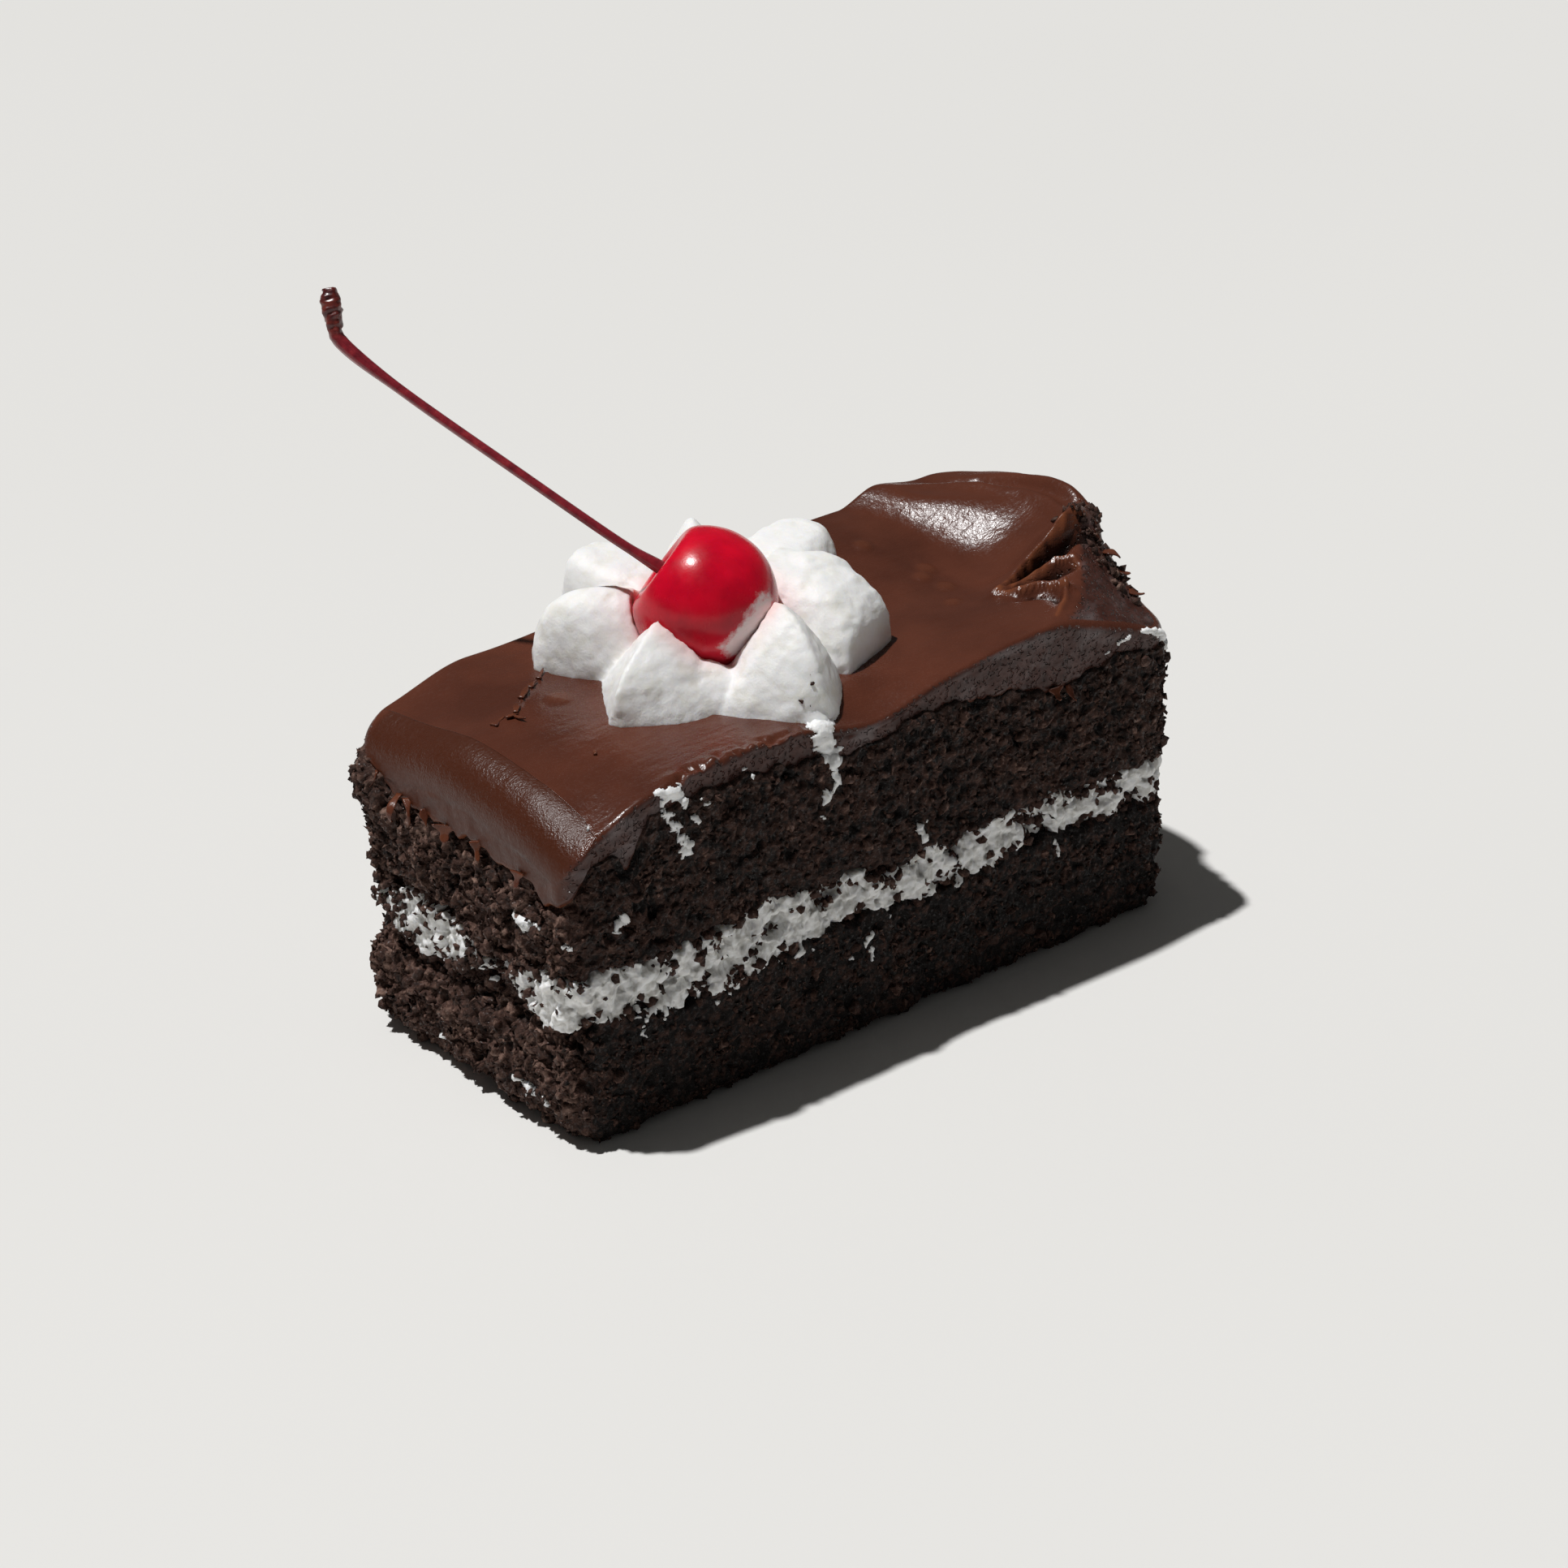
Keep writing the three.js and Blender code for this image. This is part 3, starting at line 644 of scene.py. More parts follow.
FROSTING_CELLS_LONG = 286
FROSTING_CELLS_SHORT = 126
FROSTING_LEVELS = 24
FROSTING_BROWN = (0.112, 0.033, 0.018)
FROSTING_DEEP = (0.074, 0.0215, 0.012)
FROSTING_CUT = (0.07, 0.0235, 0.0165)
FROSTING_SHADY = (0.022, 0.0075, 0.0045)
FROSTING_SKIRT = (0.066, 0.0165, 0.0065)
FROSTING_PAINTED_GLOW = (0.19, 0.058, 0.024)
FROSTING_PAINTED_SHEEN = (0.2, 0.165, 0.165)
FROSTING_ROLL = 6.0
EDGE_EASE = 0.9
SKIRT_PROUD = 0.35
LIP = 3.2

# Brows of the tear: how wide each falls off to its left and to its right, and its course of (x, y, rise).
# The last one is a broken line on the spread top.
BROWS = [
    (
        2.6, 0.28,
        [
            (31.7, -9.1, 0.3), (35, -8.2, 1.6), (40.8, -7, 2.7), (46, -6.4, 2.6), (50.9, -6.4, 1.9),
            (54, -7, 0.8),
        ],
    ),
    (
        0.8, 0.3,
        [
            (31.7, -9.2, 0.3), (34.7, -9.9, 1.3), (38.6, -9.7, 1.9), (42, -9.7, 1.5), (43.8, -11.4, 0.8),
            (43.1, -13.6, 0),
        ],
    ),
    (
        1.3, 0.26,
        [(31.7, -9.4, 0.3), (33.2, -12, 1.3), (35.9, -13.3, 1.8), (37.2, -15, 1.7), (37.9, -16.4, 1.2)],
    ),
    (0.5, 0.5, [(37.9, -16.4, 1.1), (35.4, -18.7, 0.7), (31.8, -21.1, 0.1)]),
    (
        0.5, 0.3,
        [(-43.2, 4.4, 0.2), (-40.6, 4.6, 0.25), (-37.9, 6.3, 0.35), (-33.5, 9.4, 0.25), (-28.5, 12.2, 0.2)],
    ),
]
# The swirl's crest, and the shallow valley that the knife left behind it.
CREST = [
    (36.8, 22.8, 0.1), (44.3, 19.8, 0.5), (49.2, 13.4, 0.75), (51, 6.4, 0.9), (51, 1, 1), (50, -4.4, 0.9)
]
VALLEY = [(46.5, 21, 0.4), (50.8, 15.9, 1.1), (53.2, 9, 1.4), (53.3, 2, 1.2), (53, -3, 0.6)]
# Hollows torn out between the brows, with how far each sinks and its width.
HOLLOWS = [
    ([(36, -8.6, 0.8), (41, -8.1, 2.4), (46, -8.1, 3.2), (50, -8.6, 2.4), (53, -9.2, 0.9)], 0.95),
    ([(34.2, -10.9, 0.5), (37, -11.1, 2.2), (41, -11.2, 2.4), (43, -12.6, 0.9)], 0.9),
    ([(31.6, -12.6, 0.3), (34.6, -14.6, 1.4), (36.2, -16.4, 1.3), (34.8, -18.2, 0.5)], 0.75),
]
# Air bubbles just under the surface: place, radius and height.
BUBBLES = [
    (26.7, 12.9, 1.3, 0.36), (31, 4.3, 1.4, 0.42), (28.8, 2.6, 1.3, 0.38), (29.7, -1.3, 1.4, 0.42),
    (26.1, -6.5, 1.2, 0.34), (-32.7, 4.7, 1.7, 0.36),
]


def line_share(px, py, course, left_width, right_width):
    """The rise along a course of (x, y, rise), falling off over its widths to the left and to the right."""
    best = np.full(px.shape, 1e9)
    found = np.zeros(px.shape)
    for (ax, ay, rise_a), (bx, by, rise_b) in zip(course, course[1:]):
        dx, dy = bx - ax, by - ay
        t = np.clip(((px - ax) * dx + (py - ay) * dy) / (dx * dx + dy * dy), 0, 1)
        off_x, off_y = px - ax - t * dx, py - ay - t * dy
        width = np.where(dx * off_y - dy * off_x > 0, left_width, right_width)
        far = np.hypot(off_x, off_y)
        share = (rise_a + (rise_b - rise_a) * t) * np.exp(-((far / width) ** 2))
        nearer = far < best - 1e-6
        found = np.where(nearer, share, found)
        best = np.where(nearer, far, best)
    return found


def left_roll(x):
    """How far the top falls where it rolls over into the skirt of the left end."""
    inward = np.maximum(FROSTING_ROLL - (x + HALF_LENGTH + SKIRT_PROUD), 0)
    return FROSTING_ROLL - np.sqrt(np.maximum(FROSTING_ROLL**2 - inward**2, 0))


def bubble_shares(px, py):
    """How much each air bubble lifts the top, from 0 to 1."""
    return [np.exp(-((np.hypot(px - bx, py - by) / radius) ** 4)) for bx, by, radius, _ in BUBBLES]


def hollow_share(px, py):
    """How deep the hollows between the brows are."""
    return np.max([line_share(px, py, course, width, width) for course, width in HOLLOWS], axis=0)


def worked_top(px, py):
    """The frosting's top with the knife's waves, the swirl's lines, the tear and the bubbles."""
    height = frosting_top(px, py) - left_roll(px)
    height = height + 0.22 * lumps(px, py, 2, 11, 8) + 0.05 * lumps(px / 4, py, 2, 1.6, 9)
    pulled = smooth(-20.5, -23, py) * smooth(-39, -35, px) * smooth(-10, -14, px)
    height = height + pulled * layered(px, py, 3, (0.9, 2.4, 90), (0.6, 1.1, 91))
    height = height + line_share(px, py, CREST, 0.9, 1.5) - line_share(px, py, VALLEY, 1.2, 1.2)
    wave = 1 + 0.4 * lumps(px / 2.5, py, 4, 2.2, 10) + 0.15 * lumps(px / 2, py, 4, 0.9, 14)
    shift_x = px + 0.3 * lumps(px, py, 5, 2.6, 15)
    shift_y = py + 0.3 * lumps(px / 2, py, 6, 1.8, 16)
    for left_width, right_width, course in BROWS:
        height = height + wave * line_share(shift_x, shift_y, course, left_width, right_width)
    for course, width in HOLLOWS:
        height = height - wave * line_share(shift_x, shift_y, course, width, width)
    for (*_, rise), share in zip(BUBBLES, bubble_shares(px, py)):
        height = height + rise * share
    return height


def painted_glow_share(px, py):
    """1 on the thin torn brows, with their painted glow of light through them, and less on the skin over a
    bubble.
    """
    shares = [line_share(px, py, [(a, b, 1) for a, b, _ in course], 0.35, 0.22) for *_, course in BROWS[:4]]
    torn = np.max(shares, axis=0) * (0.7 + 0.9 * lumps(px, py, 3, 1.1, 17))
    return np.clip(torn + 0.22 * np.max(bubble_shares(px, py), axis=0), 0, 1)


def cut_share(px, py):
    """1 where the top is the sheared face and 0 where it was spread."""
    torn = spread_top(px, py) - sheared_face(px, py) + 0.3 * lumps(px, py, 1, 1.2, 11)
    return np.clip(smooth(-0.1, 0.9, torn) + 0.6 * smooth(0.3, 1.4, hollow_share(px, py)), 0, 1)


def torn_depth(px, py):
    """1 in the hollows between the torn brows, where shade is painted dark."""
    return smooth(0.2, 1.5, hollow_share(px, py) + 0.4 * lumps(px, py, 3, 1.0, 92))


def blended(tree, factor, under, over):
    """Two colours, with the second one over the first as far as the factor says."""
    if isinstance(over, tuple):
        over = (*over, 1.0)
    return node(tree, "ShaderNodeMix", {"Factor": factor, 6: under, 7: over}, data_type="RGBA").outputs[2]


def coons(ring_points, cells_long, cells_short):
    """Even points inside a ring of points, and the numbers of the ring's points along the border."""
    i = np.arange(cells_long + 1)
    j = np.arange(cells_short + 1)
    numbers = np.full((cells_short + 1, cells_long + 1), -1)
    numbers[0], numbers[-1] = i, 2 * cells_long + cells_short - i
    numbers[:, 0], numbers[:, -1] = -j % len(ring_points), cells_long + j
    u = (i / cells_long)[None, :, None]
    v = (j / cells_short)[:, None, None]
    front, back = ring_points[numbers[:1]], ring_points[numbers[-1:]]
    left_side, right_side = ring_points[numbers[:, :1]], ring_points[numbers[:, -1:]]
    low_corners = (1 - u) * front[:, :1] + u * front[:, -1:]
    high_corners = (1 - u) * back[:, :1] + u * back[:, -1:]
    along = (1 - v) * (front - low_corners) + v * (back - high_corners)
    return along + (1 - u) * left_side + u * right_side, numbers


x, y, out_x, out_y = rounded_outline(FROSTING_CELLS_LONG, FROSTING_CELLS_SHORT)
left = left_end(x)
front = front_face(y)
lip = LIP * right_end(x) * smooth(-10, -3, y) * smooth(25, 15, y)
corner_push = np.where((x < 0) & (y < 0), 0.9 * (2 * out_x * out_y) ** 2, 0)
proud_top = SKIRT_PROUD * left - 0.25 * front + lip + corner_push
low_edge = frosting_edge(x, y)
roll_x = np.where(x < 0, FROSTING_ROLL, 1.3)
cut_edge = np.where(x < 0, out_y**2, 1.0)
cut_side = np.where(x < 0, smooth(0.45, 0.85, np.abs(out_y)), 1.0)


def edge_ring(turn):
    """The upper edge's ring, from the side at turn 0 over to the top at a right angle."""
    px = x - out_x * (roll_x * (1 - math.cos(turn)) - proud_top)
    py = y - out_y * (EDGE_EASE * (1 - math.cos(turn)) - proud_top)
    top = worked_top(np.maximum(px, -HALF_LENGTH - SKIRT_PROUD), py)
    top = top - cut_edge * EDGE_EASE * (1 - math.sin(turn))
    return np.stack([px, py, np.maximum(top, low_edge + 0.8 + 0.4 * math.sin(turn))], axis=1)


top_of_side = edge_ring(0)[:, 2]
inner = 1.6 + 1.6 * left
rings = [
    ring(inner + 0.6, sponge_top(x, y) + 0.1), ring(inner, low_edge + 0.7), ring(0.35 + 0.2 * left, low_edge)
]
cut = [cut_side, cut_side, cut_side]
for t in np.linspace(0.04, 1, FROSTING_LEVELS)[:-1]:
    height = low_edge + (top_of_side - low_edge) * t
    proud = proud_top - lip * (1 - t * t) - corner_push * smooth(0.3, 0.0, t)
    rough = layered(x, y, height, (0.32, 6, 12), (0.16, 1.8, 13), (0.10 * cut_side, 0.8, 18))
    curl = 0.6 * left * smooth(0.2, 0.0, t) * lumps(x, y, 0, 3.0, 19)
    proud = proud + rough * smooth(1.0, 0.8, t) - 0.3 * smooth(0.12, 0.0, t) + curl
    rings.append(ring(-proud, height))
    cut.append(cut_side)
for turn in np.linspace(0, math.pi / 2, 12):
    rings.append(edge_ring(turn))
    cut.append(cut_side * smooth(0.9, 0.35, turn) * (1 - right_end(x) * smooth(-5, 0, y)))
levels = len(rings)
count = len(x)
inside, numbers = coons(rings[-1], FROSTING_CELLS_LONG, FROSTING_CELLS_SHORT)
free = numbers < 0
top_x, top_y, _ = inside[free].T
top_points = np.stack([top_x, top_y, worked_top(top_x, top_y)], axis=1)
under_middle = [[0, 0, SPONGE_TOP - 1.5]]
points = np.concatenate([np.array(rings).reshape(-1, 3), top_points, under_middle])
numbers = numbers + (levels - 1) * count
numbers[free] = levels * count + np.arange(free.sum())
faces = wall_faces(levels, count)
cells = np.stack([numbers[:-1, :-1], numbers[:-1, 1:], numbers[1:, 1:], numbers[1:, :-1]], axis=-1)
faces += cells.reshape(-1, 4).tolist()
faces += [[len(points) - 1, (i + 1) % count, i] for i in range(count)]
mesh = mesh_of("frosting_coat", points, faces)
skirt = np.tile(left * (1 - cut_side), levels)
near_edge = smooth(0.16, 0.0, np.maximum(np.arange(levels) - 2, 0) / FROSTING_LEVELS)
painted_glow_edge = np.outer(near_edge, 0.35 + 0.65 * left).ravel()
px, py, pz = points.T
mark(mesh, "cut_face", np.append(cut, cut_share(top_x, top_y)))
# Painted glow: the thin brows, the thin lower edge and the skin over the bubbles are painted lighter, as if
# lit through.
mark(mesh, "thin", np.append(painted_glow_edge, painted_glow_share(top_x, top_y)))
mark(mesh, "skirt", np.append(skirt, smooth(-48.5, -52.5, top_x)))
mark(mesh, "gleam", smooth(-46.0, -49.0, px) * smooth(40.0, 43.0, pz))
# Painted shade: the hollows of the tear painted dark.
mark(mesh, "shady", torn_depth(px, py) * (px > 28) * (pz > 44))

# Spread frosting is satin, with a fine skin that breaks its gleam. Its cut face is greyer, pitted with tiny
# air holes and has grey patches of painted sheen. Its thin torn brows and edges, the skin over its bubbles
# and its flakes are painted a lighter brown, a painted glow of light shining through them, and shade is
# painted dark into the hollows between the brows.
frosting_finish, tree, shader = finish("chocolate frosting")
cut_part, skirt_part, gleam_part = [marked(tree, name) for name in ("cut_face", "skirt", "gleam")]
satin = ramp(tree, grain(tree, 16.0, 3.0), [(0.35, FROSTING_DEEP), (0.65, FROSTING_BROWN)])
satin = blended(tree, skirt_part, satin, FROSTING_SKIRT)
deep_cut = tuple(0.55 * c for c in FROSTING_CUT)
matt = ramp(tree, grain(tree, 1.6, 3.0), [(0.3, deep_cut), (0.62, FROSTING_CUT)])
# Grey patches of painted sheen on the cut face, where it looks wet.
painted_sheen = ramp(tree, grain(tree, 5.0, 3.0, stretch=(0.5, 1, 1.6), seed=4), [(0.52, 0), (0.68, 0.55)])
mixed = blended(tree, cut_part, satin, blended(tree, painted_sheen, matt, FROSTING_PAINTED_SHEEN))
mixed = blended(tree, marked(tree, "thin"), mixed, FROSTING_PAINTED_GLOW)
mixed = blended(tree, marked(tree, "shady"), mixed, FROSTING_SHADY)
dry = ramp(tree, grain(tree, 0.5, 2.0), [(0.35, 0.20), (0.7, 0.32)])
rough = sums(tree, "MULTIPLY_ADD", sums(tree, "MAXIMUM", cut_part, skirt_part), 0.16, dry)
rough = sums(tree, "MULTIPLY_ADD", gleam_part, -0.08, rough)
join(tree, shader, {"Base Color": mixed, "Roughness": rough, "Specular IOR Level": 0.32})
pits = ramp(tree, grain(tree, 0.7, 1.0, seed=5), [(0.34, 0), (0.44, 1)])
pitted = sums(tree, "MULTIPLY", sums(tree, "SUBTRACT", 1.0, pits), cut_part)
skin_grain = sums(tree, "MULTIPLY_ADD", gleam_part, 2.2, 1.0)
skin_grain = sums(tree, "MULTIPLY", grain(tree, 0.3, 2.0, 0.6), skin_grain)
relief(
    tree,
    shader,
    [
        (grain(tree, 1.5, 3.0, seed=8), 0.38, 0.25),
        (grain(tree, 1.0, 2.0, 0.5, stretch=(0.25, 1, 1)), 0.32, 0.25),
        (skin_grain, 0.3, 0.12),
        (sums(tree, "SUBTRACT", 1.0, pitted), 0.9, 0.5),
    ],
)
frosting_coat = stood("frosting_coat", mesh, frosting_finish)
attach(frosting_coat, "root")
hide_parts("chocolate_frosting")

# ==== Cream rosette ===============================================================================
# Stiff whipped cream, piped with a star nozzle in eight lobes round the cherry. Each lobe has a crest
# that climbs to the cherry, and its skin is grainy. The cherry has stained the cream next to it.

ROSETTE_X, ROSETTE_Y = -8.5, 2.5
ROSETTE_CORE = 16.5
ROSETTE_CORE_SIDES = 72
CHERRY_CENTRE = np.array([-12.4, -0.6, 58.2])
CHERRY_RADIUS = 9.7
CREAM_GRAIN = 0.38
CREAM_SOFTENING = 2
WHIPPED_PALE = (0.93, 0.93, 0.915)
WHIPPED_DEEP = (0.87, 0.86, 0.81)
STAIN = (0.90, 0.40, 0.38)
STAIN_REACH = 2.2

# Each lobe: where its spine starts, its heading in degrees, how square its two flanks are (1 a roof,
# 2 round, 4 a brick), and along its spine the distance, the crest's height and its two flanks' reach.
# The row that heads 268 is the tongue running into the drip, and 231 is the rim under the cherry.
LOBES = [
    (
        (-8.5, 2.5), 17, 3.2, 3.4,
        [
            (7, 57, 6, 6), (14, 58.8, 6.8, 6.8), (19, 59.4, 6.6, 6.8), (22, 59.5, 5.6, 6.4),
            (24, 59, 4.2, 5), (24.8, 57, 3.2, 3.8), (25.2, 51.5, 2.4, 2.8),
        ],
    ),
    (
        (-8.5, 2.5), 60, 1.5, 1.6,
        [
            (7, 57, 5, 5), (14, 58.8, 6, 6), (18, 60.2, 5, 5), (19.6, 60, 3.8, 3.8), (20.8, 57.6, 2.8, 2.8),
            (21.6, 52, 1.8, 1.8),
        ],
    ),
    (
        (-8.5, 2.5), 107, 3.6, 4,
        [
            (7, 57, 5, 5), (14, 58.6, 6, 6), (19, 59.2, 5.8, 5.6), (21.2, 59.2, 5.2, 4.8),
            (21.9, 57.5, 4.6, 4.3), (22.2, 52, 3.8, 3.6),
        ],
    ),
    (
        (-8.5, 2.5), 149, 1.6, 2,
        [
            (7, 57.5, 6, 7), (13, 59, 7.2, 6.8), (17, 58.8, 7.6, 6.2), (19.5, 58, 7.4, 5),
            (21.6, 56.8, 6.6, 3.6), (23, 55, 5.6, 2.6), (23.8, 52.2, 4.6, 1.8), (24.2, 50, 3.8, 1.2),
        ],
    ),
    (
        (-8.5, 2.5), 201, 1, 1.25,
        [
            (7, 57.8, 8, 7), (14.2, 59.2, 9.6, 10), (18, 57.7, 7.2, 9.4), (21.1, 56, 4.4, 7),
            (23.4, 54.3, 2.4, 4.4), (25.2, 52.6, 1, 1.4), (25.7, 51.4, 0.6, 0.7),
        ],
    ),
    (
        (-6.5, 2.2), 262, 1.2, 1.3,
        [
            (7, 57.8, 8, 7), (12, 59.8, 9.4, 8), (14, 60, 10.6, 8), (17, 59.4, 11.6, 7.4),
            (19.5, 57.8, 9.8, 5.8), (21.6, 55.6, 7.6, 4), (23.2, 53, 5.8, 2.4), (23.9, 50, 4, 1.2),
        ],
    ),
    (
        (1.6, -0.9), 292, 2.4, 6,
        [
            (-4, 59.4, 7.5, 6.5), (0, 59.4, 7.6, 6.6), (5, 58.7, 7.2, 7), (8, 57.7, 6.9, 7.1),
            (10.6, 55.8, 6.5, 6.9), (11.8, 54, 6.3, 6.7), (12.3, 52, 6.1, 6.4), (12.5, 50, 5.9, 6.2),
        ],
    ),
    (
        (-10.6, -16.5), 268, 2, 2,
        [
            (0, 53, 3.2, 3.2), (2.6, 51.2, 3, 3), (4.4, 49.4, 2.4, 2.4), (5.8, 47.8, 1.6, 1.6),
            (6.6, 46.4, 0.8, 0.8),
        ],
    ),
    (
        (-12.4, -0.6), 231, 2, 2,
        [
            (5, 52, 5, 5), (9.4, 53.7, 6, 6), (11, 53.4, 6, 6), (12.4, 52.2, 5.6, 5.6), (13.6, 50.6, 4, 4),
            (14.4, 48.5, 2, 2),
        ],
    ),
    (
        (-8.5, 2.5), 345, 2, 2.4,
        [
            (7, 57.5, 7, 7), (13, 60, 7.5, 7), (17, 59.4, 7, 6.4), (19.2, 58, 6.2, 5.4),
            (20.6, 55.6, 5.2, 4.4), (21.2, 52, 4, 3.4),
        ],
    ),
]


def pressed_down(points):
    """Points moved down from where the cherry sits."""
    aside = np.hypot(points[..., 0] - CHERRY_CENTRE[0], points[..., 1] - CHERRY_CENTRE[1])
    room = (CHERRY_RADIUS + 0.1) ** 2 - aside**2
    seat = CHERRY_CENTRE[2] - np.sqrt(np.maximum(room, 0))
    height = np.where(room > 0, np.minimum(points[..., 2], seat), points[..., 2])
    return np.stack([points[..., 0], points[..., 1], height], axis=-1)


def lobe_skin(start, heading, low_square, high_square, spine):
    """One lobe as a closed mesh: rings across its spine, from the middle to the outer end."""
    spine = np.array(spine)
    far = np.arange(spine[0, 0], spine[-1, 0] + 0.01, 0.4)
    top, low, high = [np.interp(far, spine[:, 0], spine[:, k])[:, None] for k in (1, 2, 3)]
    a = math.radians(heading)
    mid_x = (start[0] + far * math.cos(a))[:, None]
    mid_y = (start[1] + far * math.sin(a))[:, None]
    base = frosting_top(np.clip(mid_x, -51, 51), np.clip(mid_y, -23, 23)) - 0.7
    turn = np.linspace(0, math.pi, 49)
    over, up = np.cos(turn), np.sin(turn)
    square = np.where(over > 0, high_square, low_square)
    across = np.where(over > 0, high, -low) * np.abs(over) ** (2 / square)
    height = base + (top - base) * up ** (2 / square)
    under = np.linspace(-1, 1, 16)[1:-1]
    across = np.concatenate([across, np.where(under > 0, high, low) * under], axis=1)
    height = np.concatenate([height, base + 0 * under], axis=1)
    points = np.stack([mid_x - across * math.sin(a), mid_y + across * math.cos(a), height], axis=-1)
    return skin("lobe", pressed_down(points))


def of_points(mesh, kind):
    """The places or the normals of a mesh's points."""
    rows = np.zeros(len(mesh.vertices) * 3)
    mesh.vertices.foreach_get(kind, rows)
    return rows.reshape(-1, 3)


def places_of(mesh):
    """The points of a mesh in millimetres."""
    return of_points(mesh, "co") / MM


def joined(name, sources):
    """One mesh of several."""
    points, faces = [], []
    for source in sources:
        start = len(points)
        points += places_of(source).tolist()
        faces += [[start + n for n in p.vertices] for p in source.polygons]
    return mesh_of(name, points, faces)


def fused(name, mesh, grain_size, passes):
    """One outer skin round bodies that overlap, softened a little."""
    body = stood(name, mesh)
    wrap = body.modifiers.new("one skin", "REMESH")
    wrap.mode = "VOXEL"
    wrap.voxel_size = grain_size * MM
    soften = body.modifiers.new("soften", "SMOOTH")
    soften.factor = 0.5
    soften.iterations = passes
    shown = bpy.context.evaluated_depsgraph_get()
    one_skin = bpy.data.meshes.new_from_object(body.evaluated_get(shown), depsgraph=shown)
    bpy.data.objects.remove(body)
    one_skin.name = name
    return one_skin


def circle(radius, height, count):
    """A level ring of points round the upright axis."""
    around = np.arange(count) / count * 2 * math.pi
    return np.stack([radius * np.cos(around), radius * np.sin(around), np.full(count, height)], axis=1)


middle = []
for t in np.linspace(0, math.pi, 24)[1:-1]:
    level = 48.0 - 3.2 * math.cos(t) * (1 if t > math.pi / 2 else 0.2)
    core_ring = circle(ROSETTE_CORE * math.sin(t), level, ROSETTE_CORE_SIDES)
    middle.append(core_ring + np.array([ROSETTE_X, ROSETTE_Y, 0]))
bodies = [skin("middle", pressed_down(np.array(middle)))]
bodies += [lobe_skin(*lobe) for lobe in LOBES]
mesh = fused("rosette_piped", joined("lobes", bodies), CREAM_GRAIN, CREAM_SOFTENING)
places = places_of(mesh)
px, py, pz = places.T
push = layered(px, py, pz, (0.30, 5.5, 20), (0.13, 1.9, 21), (0.09, 0.9, 22))
push = push - 0.45 * np.clip(lumps(px, py, pz, 1.6, 25) - 0.45, 0, 1)
places = places + of_points(mesh, "normal") * push[:, None]
to_cherry = places - CHERRY_CENTRE
distance = np.linalg.norm(to_cherry, axis=1)
pressed = np.maximum(CHERRY_RADIUS + 0.05 - distance, 0)
places = places + to_cherry / np.maximum(distance, 1e-6)[:, None] * pressed[:, None]
mesh.vertices.foreach_set("co", (places * MM).ravel())
mesh.update()
near = np.exp(-((np.maximum(distance - CHERRY_RADIUS, 0) / STAIN_REACH) ** 2))
mark(mesh, "stain", np.clip(near * (0.5 + 0.7 * lumps(px, py, pz, 6, 23)), 0, 1))

whipped_finish, tree, shader = finish("whipped cream")
pale = ramp(tree, grain(tree, 2.6, 3.0), [(0.32, WHIPPED_DEEP), (0.5, WHIPPED_PALE)])
mixed = blended(tree, sums(tree, "MULTIPLY", marked(tree, "stain"), 0.8), pale, STAIN)
join(tree, shader, {"Base Color": mixed, "Roughness": 0.55, "Subsurface Weight": 0.35})
join(tree, shader, {"Subsurface Radius": (1.0, 0.85, 0.65), "Subsurface Scale": 1.4 * MM})
relief(tree, shader, [(grain(tree, 1.2, 3.0), 0.22, 0.25), (grain(tree, 0.35, 2.0), 0.4, 0.12)])
rosette_piped = stood("rosette_piped", mesh, whipped_finish)
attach(rosette_piped, "root")
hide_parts("cream_rosette")

# ==== Cherry ======================================================================================
# A maraschino cherry, pressed into the rosette. Its skin is smooth, glossy and a little translucent,
# and its stem grows out of a dimple that is turned to the back.

STEM_AXIS = Vector((-0.5, 0.64, 0.58)).normalized()
DIMPLE = 0.34
DIMPLE_WIDTH = 0.55
CHERRY_RINGS = 72
CHERRY_SIDES = 110
CHERRY_RED = (0.52, 0.001, 0.018)
CHERRY_BRIGHT = (0.74, 0.002, 0.024)
CHERRY_PAINTED_GLOW = (0.92, 0.042, 0.08)
SMEAR_REACH = 3.8
CREAM_ON_CHERRY = np.array(
    [(-14.6, -9.5, 55.2), (-13.6, -10.1, 56.8), (-11.9, -10.3, 58.2), (-9.6, -9.8, 59.7)]
)

rings = []
for polar in math.pi * np.linspace(0, 1, CHERRY_RINGS)[1:-1]:
    radius = CHERRY_RADIUS * (1 - DIMPLE * math.exp(-(((math.pi - polar) / DIMPLE_WIDTH) ** 4)))
    rings.append(circle(radius * math.sin(polar), -radius * math.cos(polar), CHERRY_SIDES))
rings = np.array(rings)
rings = rings * (1 + layered(*np.moveaxis(rings, -1, 0), (0.014, 8, 30), (0.003, 2.5, 31)))[..., None]
turn = STEM_AXIS.to_track_quat("Z", "Y").to_matrix()
mesh = skin("cherry_fruit", rings @ np.array(turn).T + CHERRY_CENTRE)
places = places_of(mesh)
off_smear = np.full(len(places), 9.0)
for a, b in zip(CREAM_ON_CHERRY, CREAM_ON_CHERRY[1:]):
    run = b - a
    t = np.clip((places - a) @ run / (run @ run), 0, 1)
    off_smear = np.minimum(off_smear, np.linalg.norm(places - a - np.outer(t, run), axis=1))
mark(mesh, "smeared", np.clip(1 - off_smear / SMEAR_REACH, 0, 1))
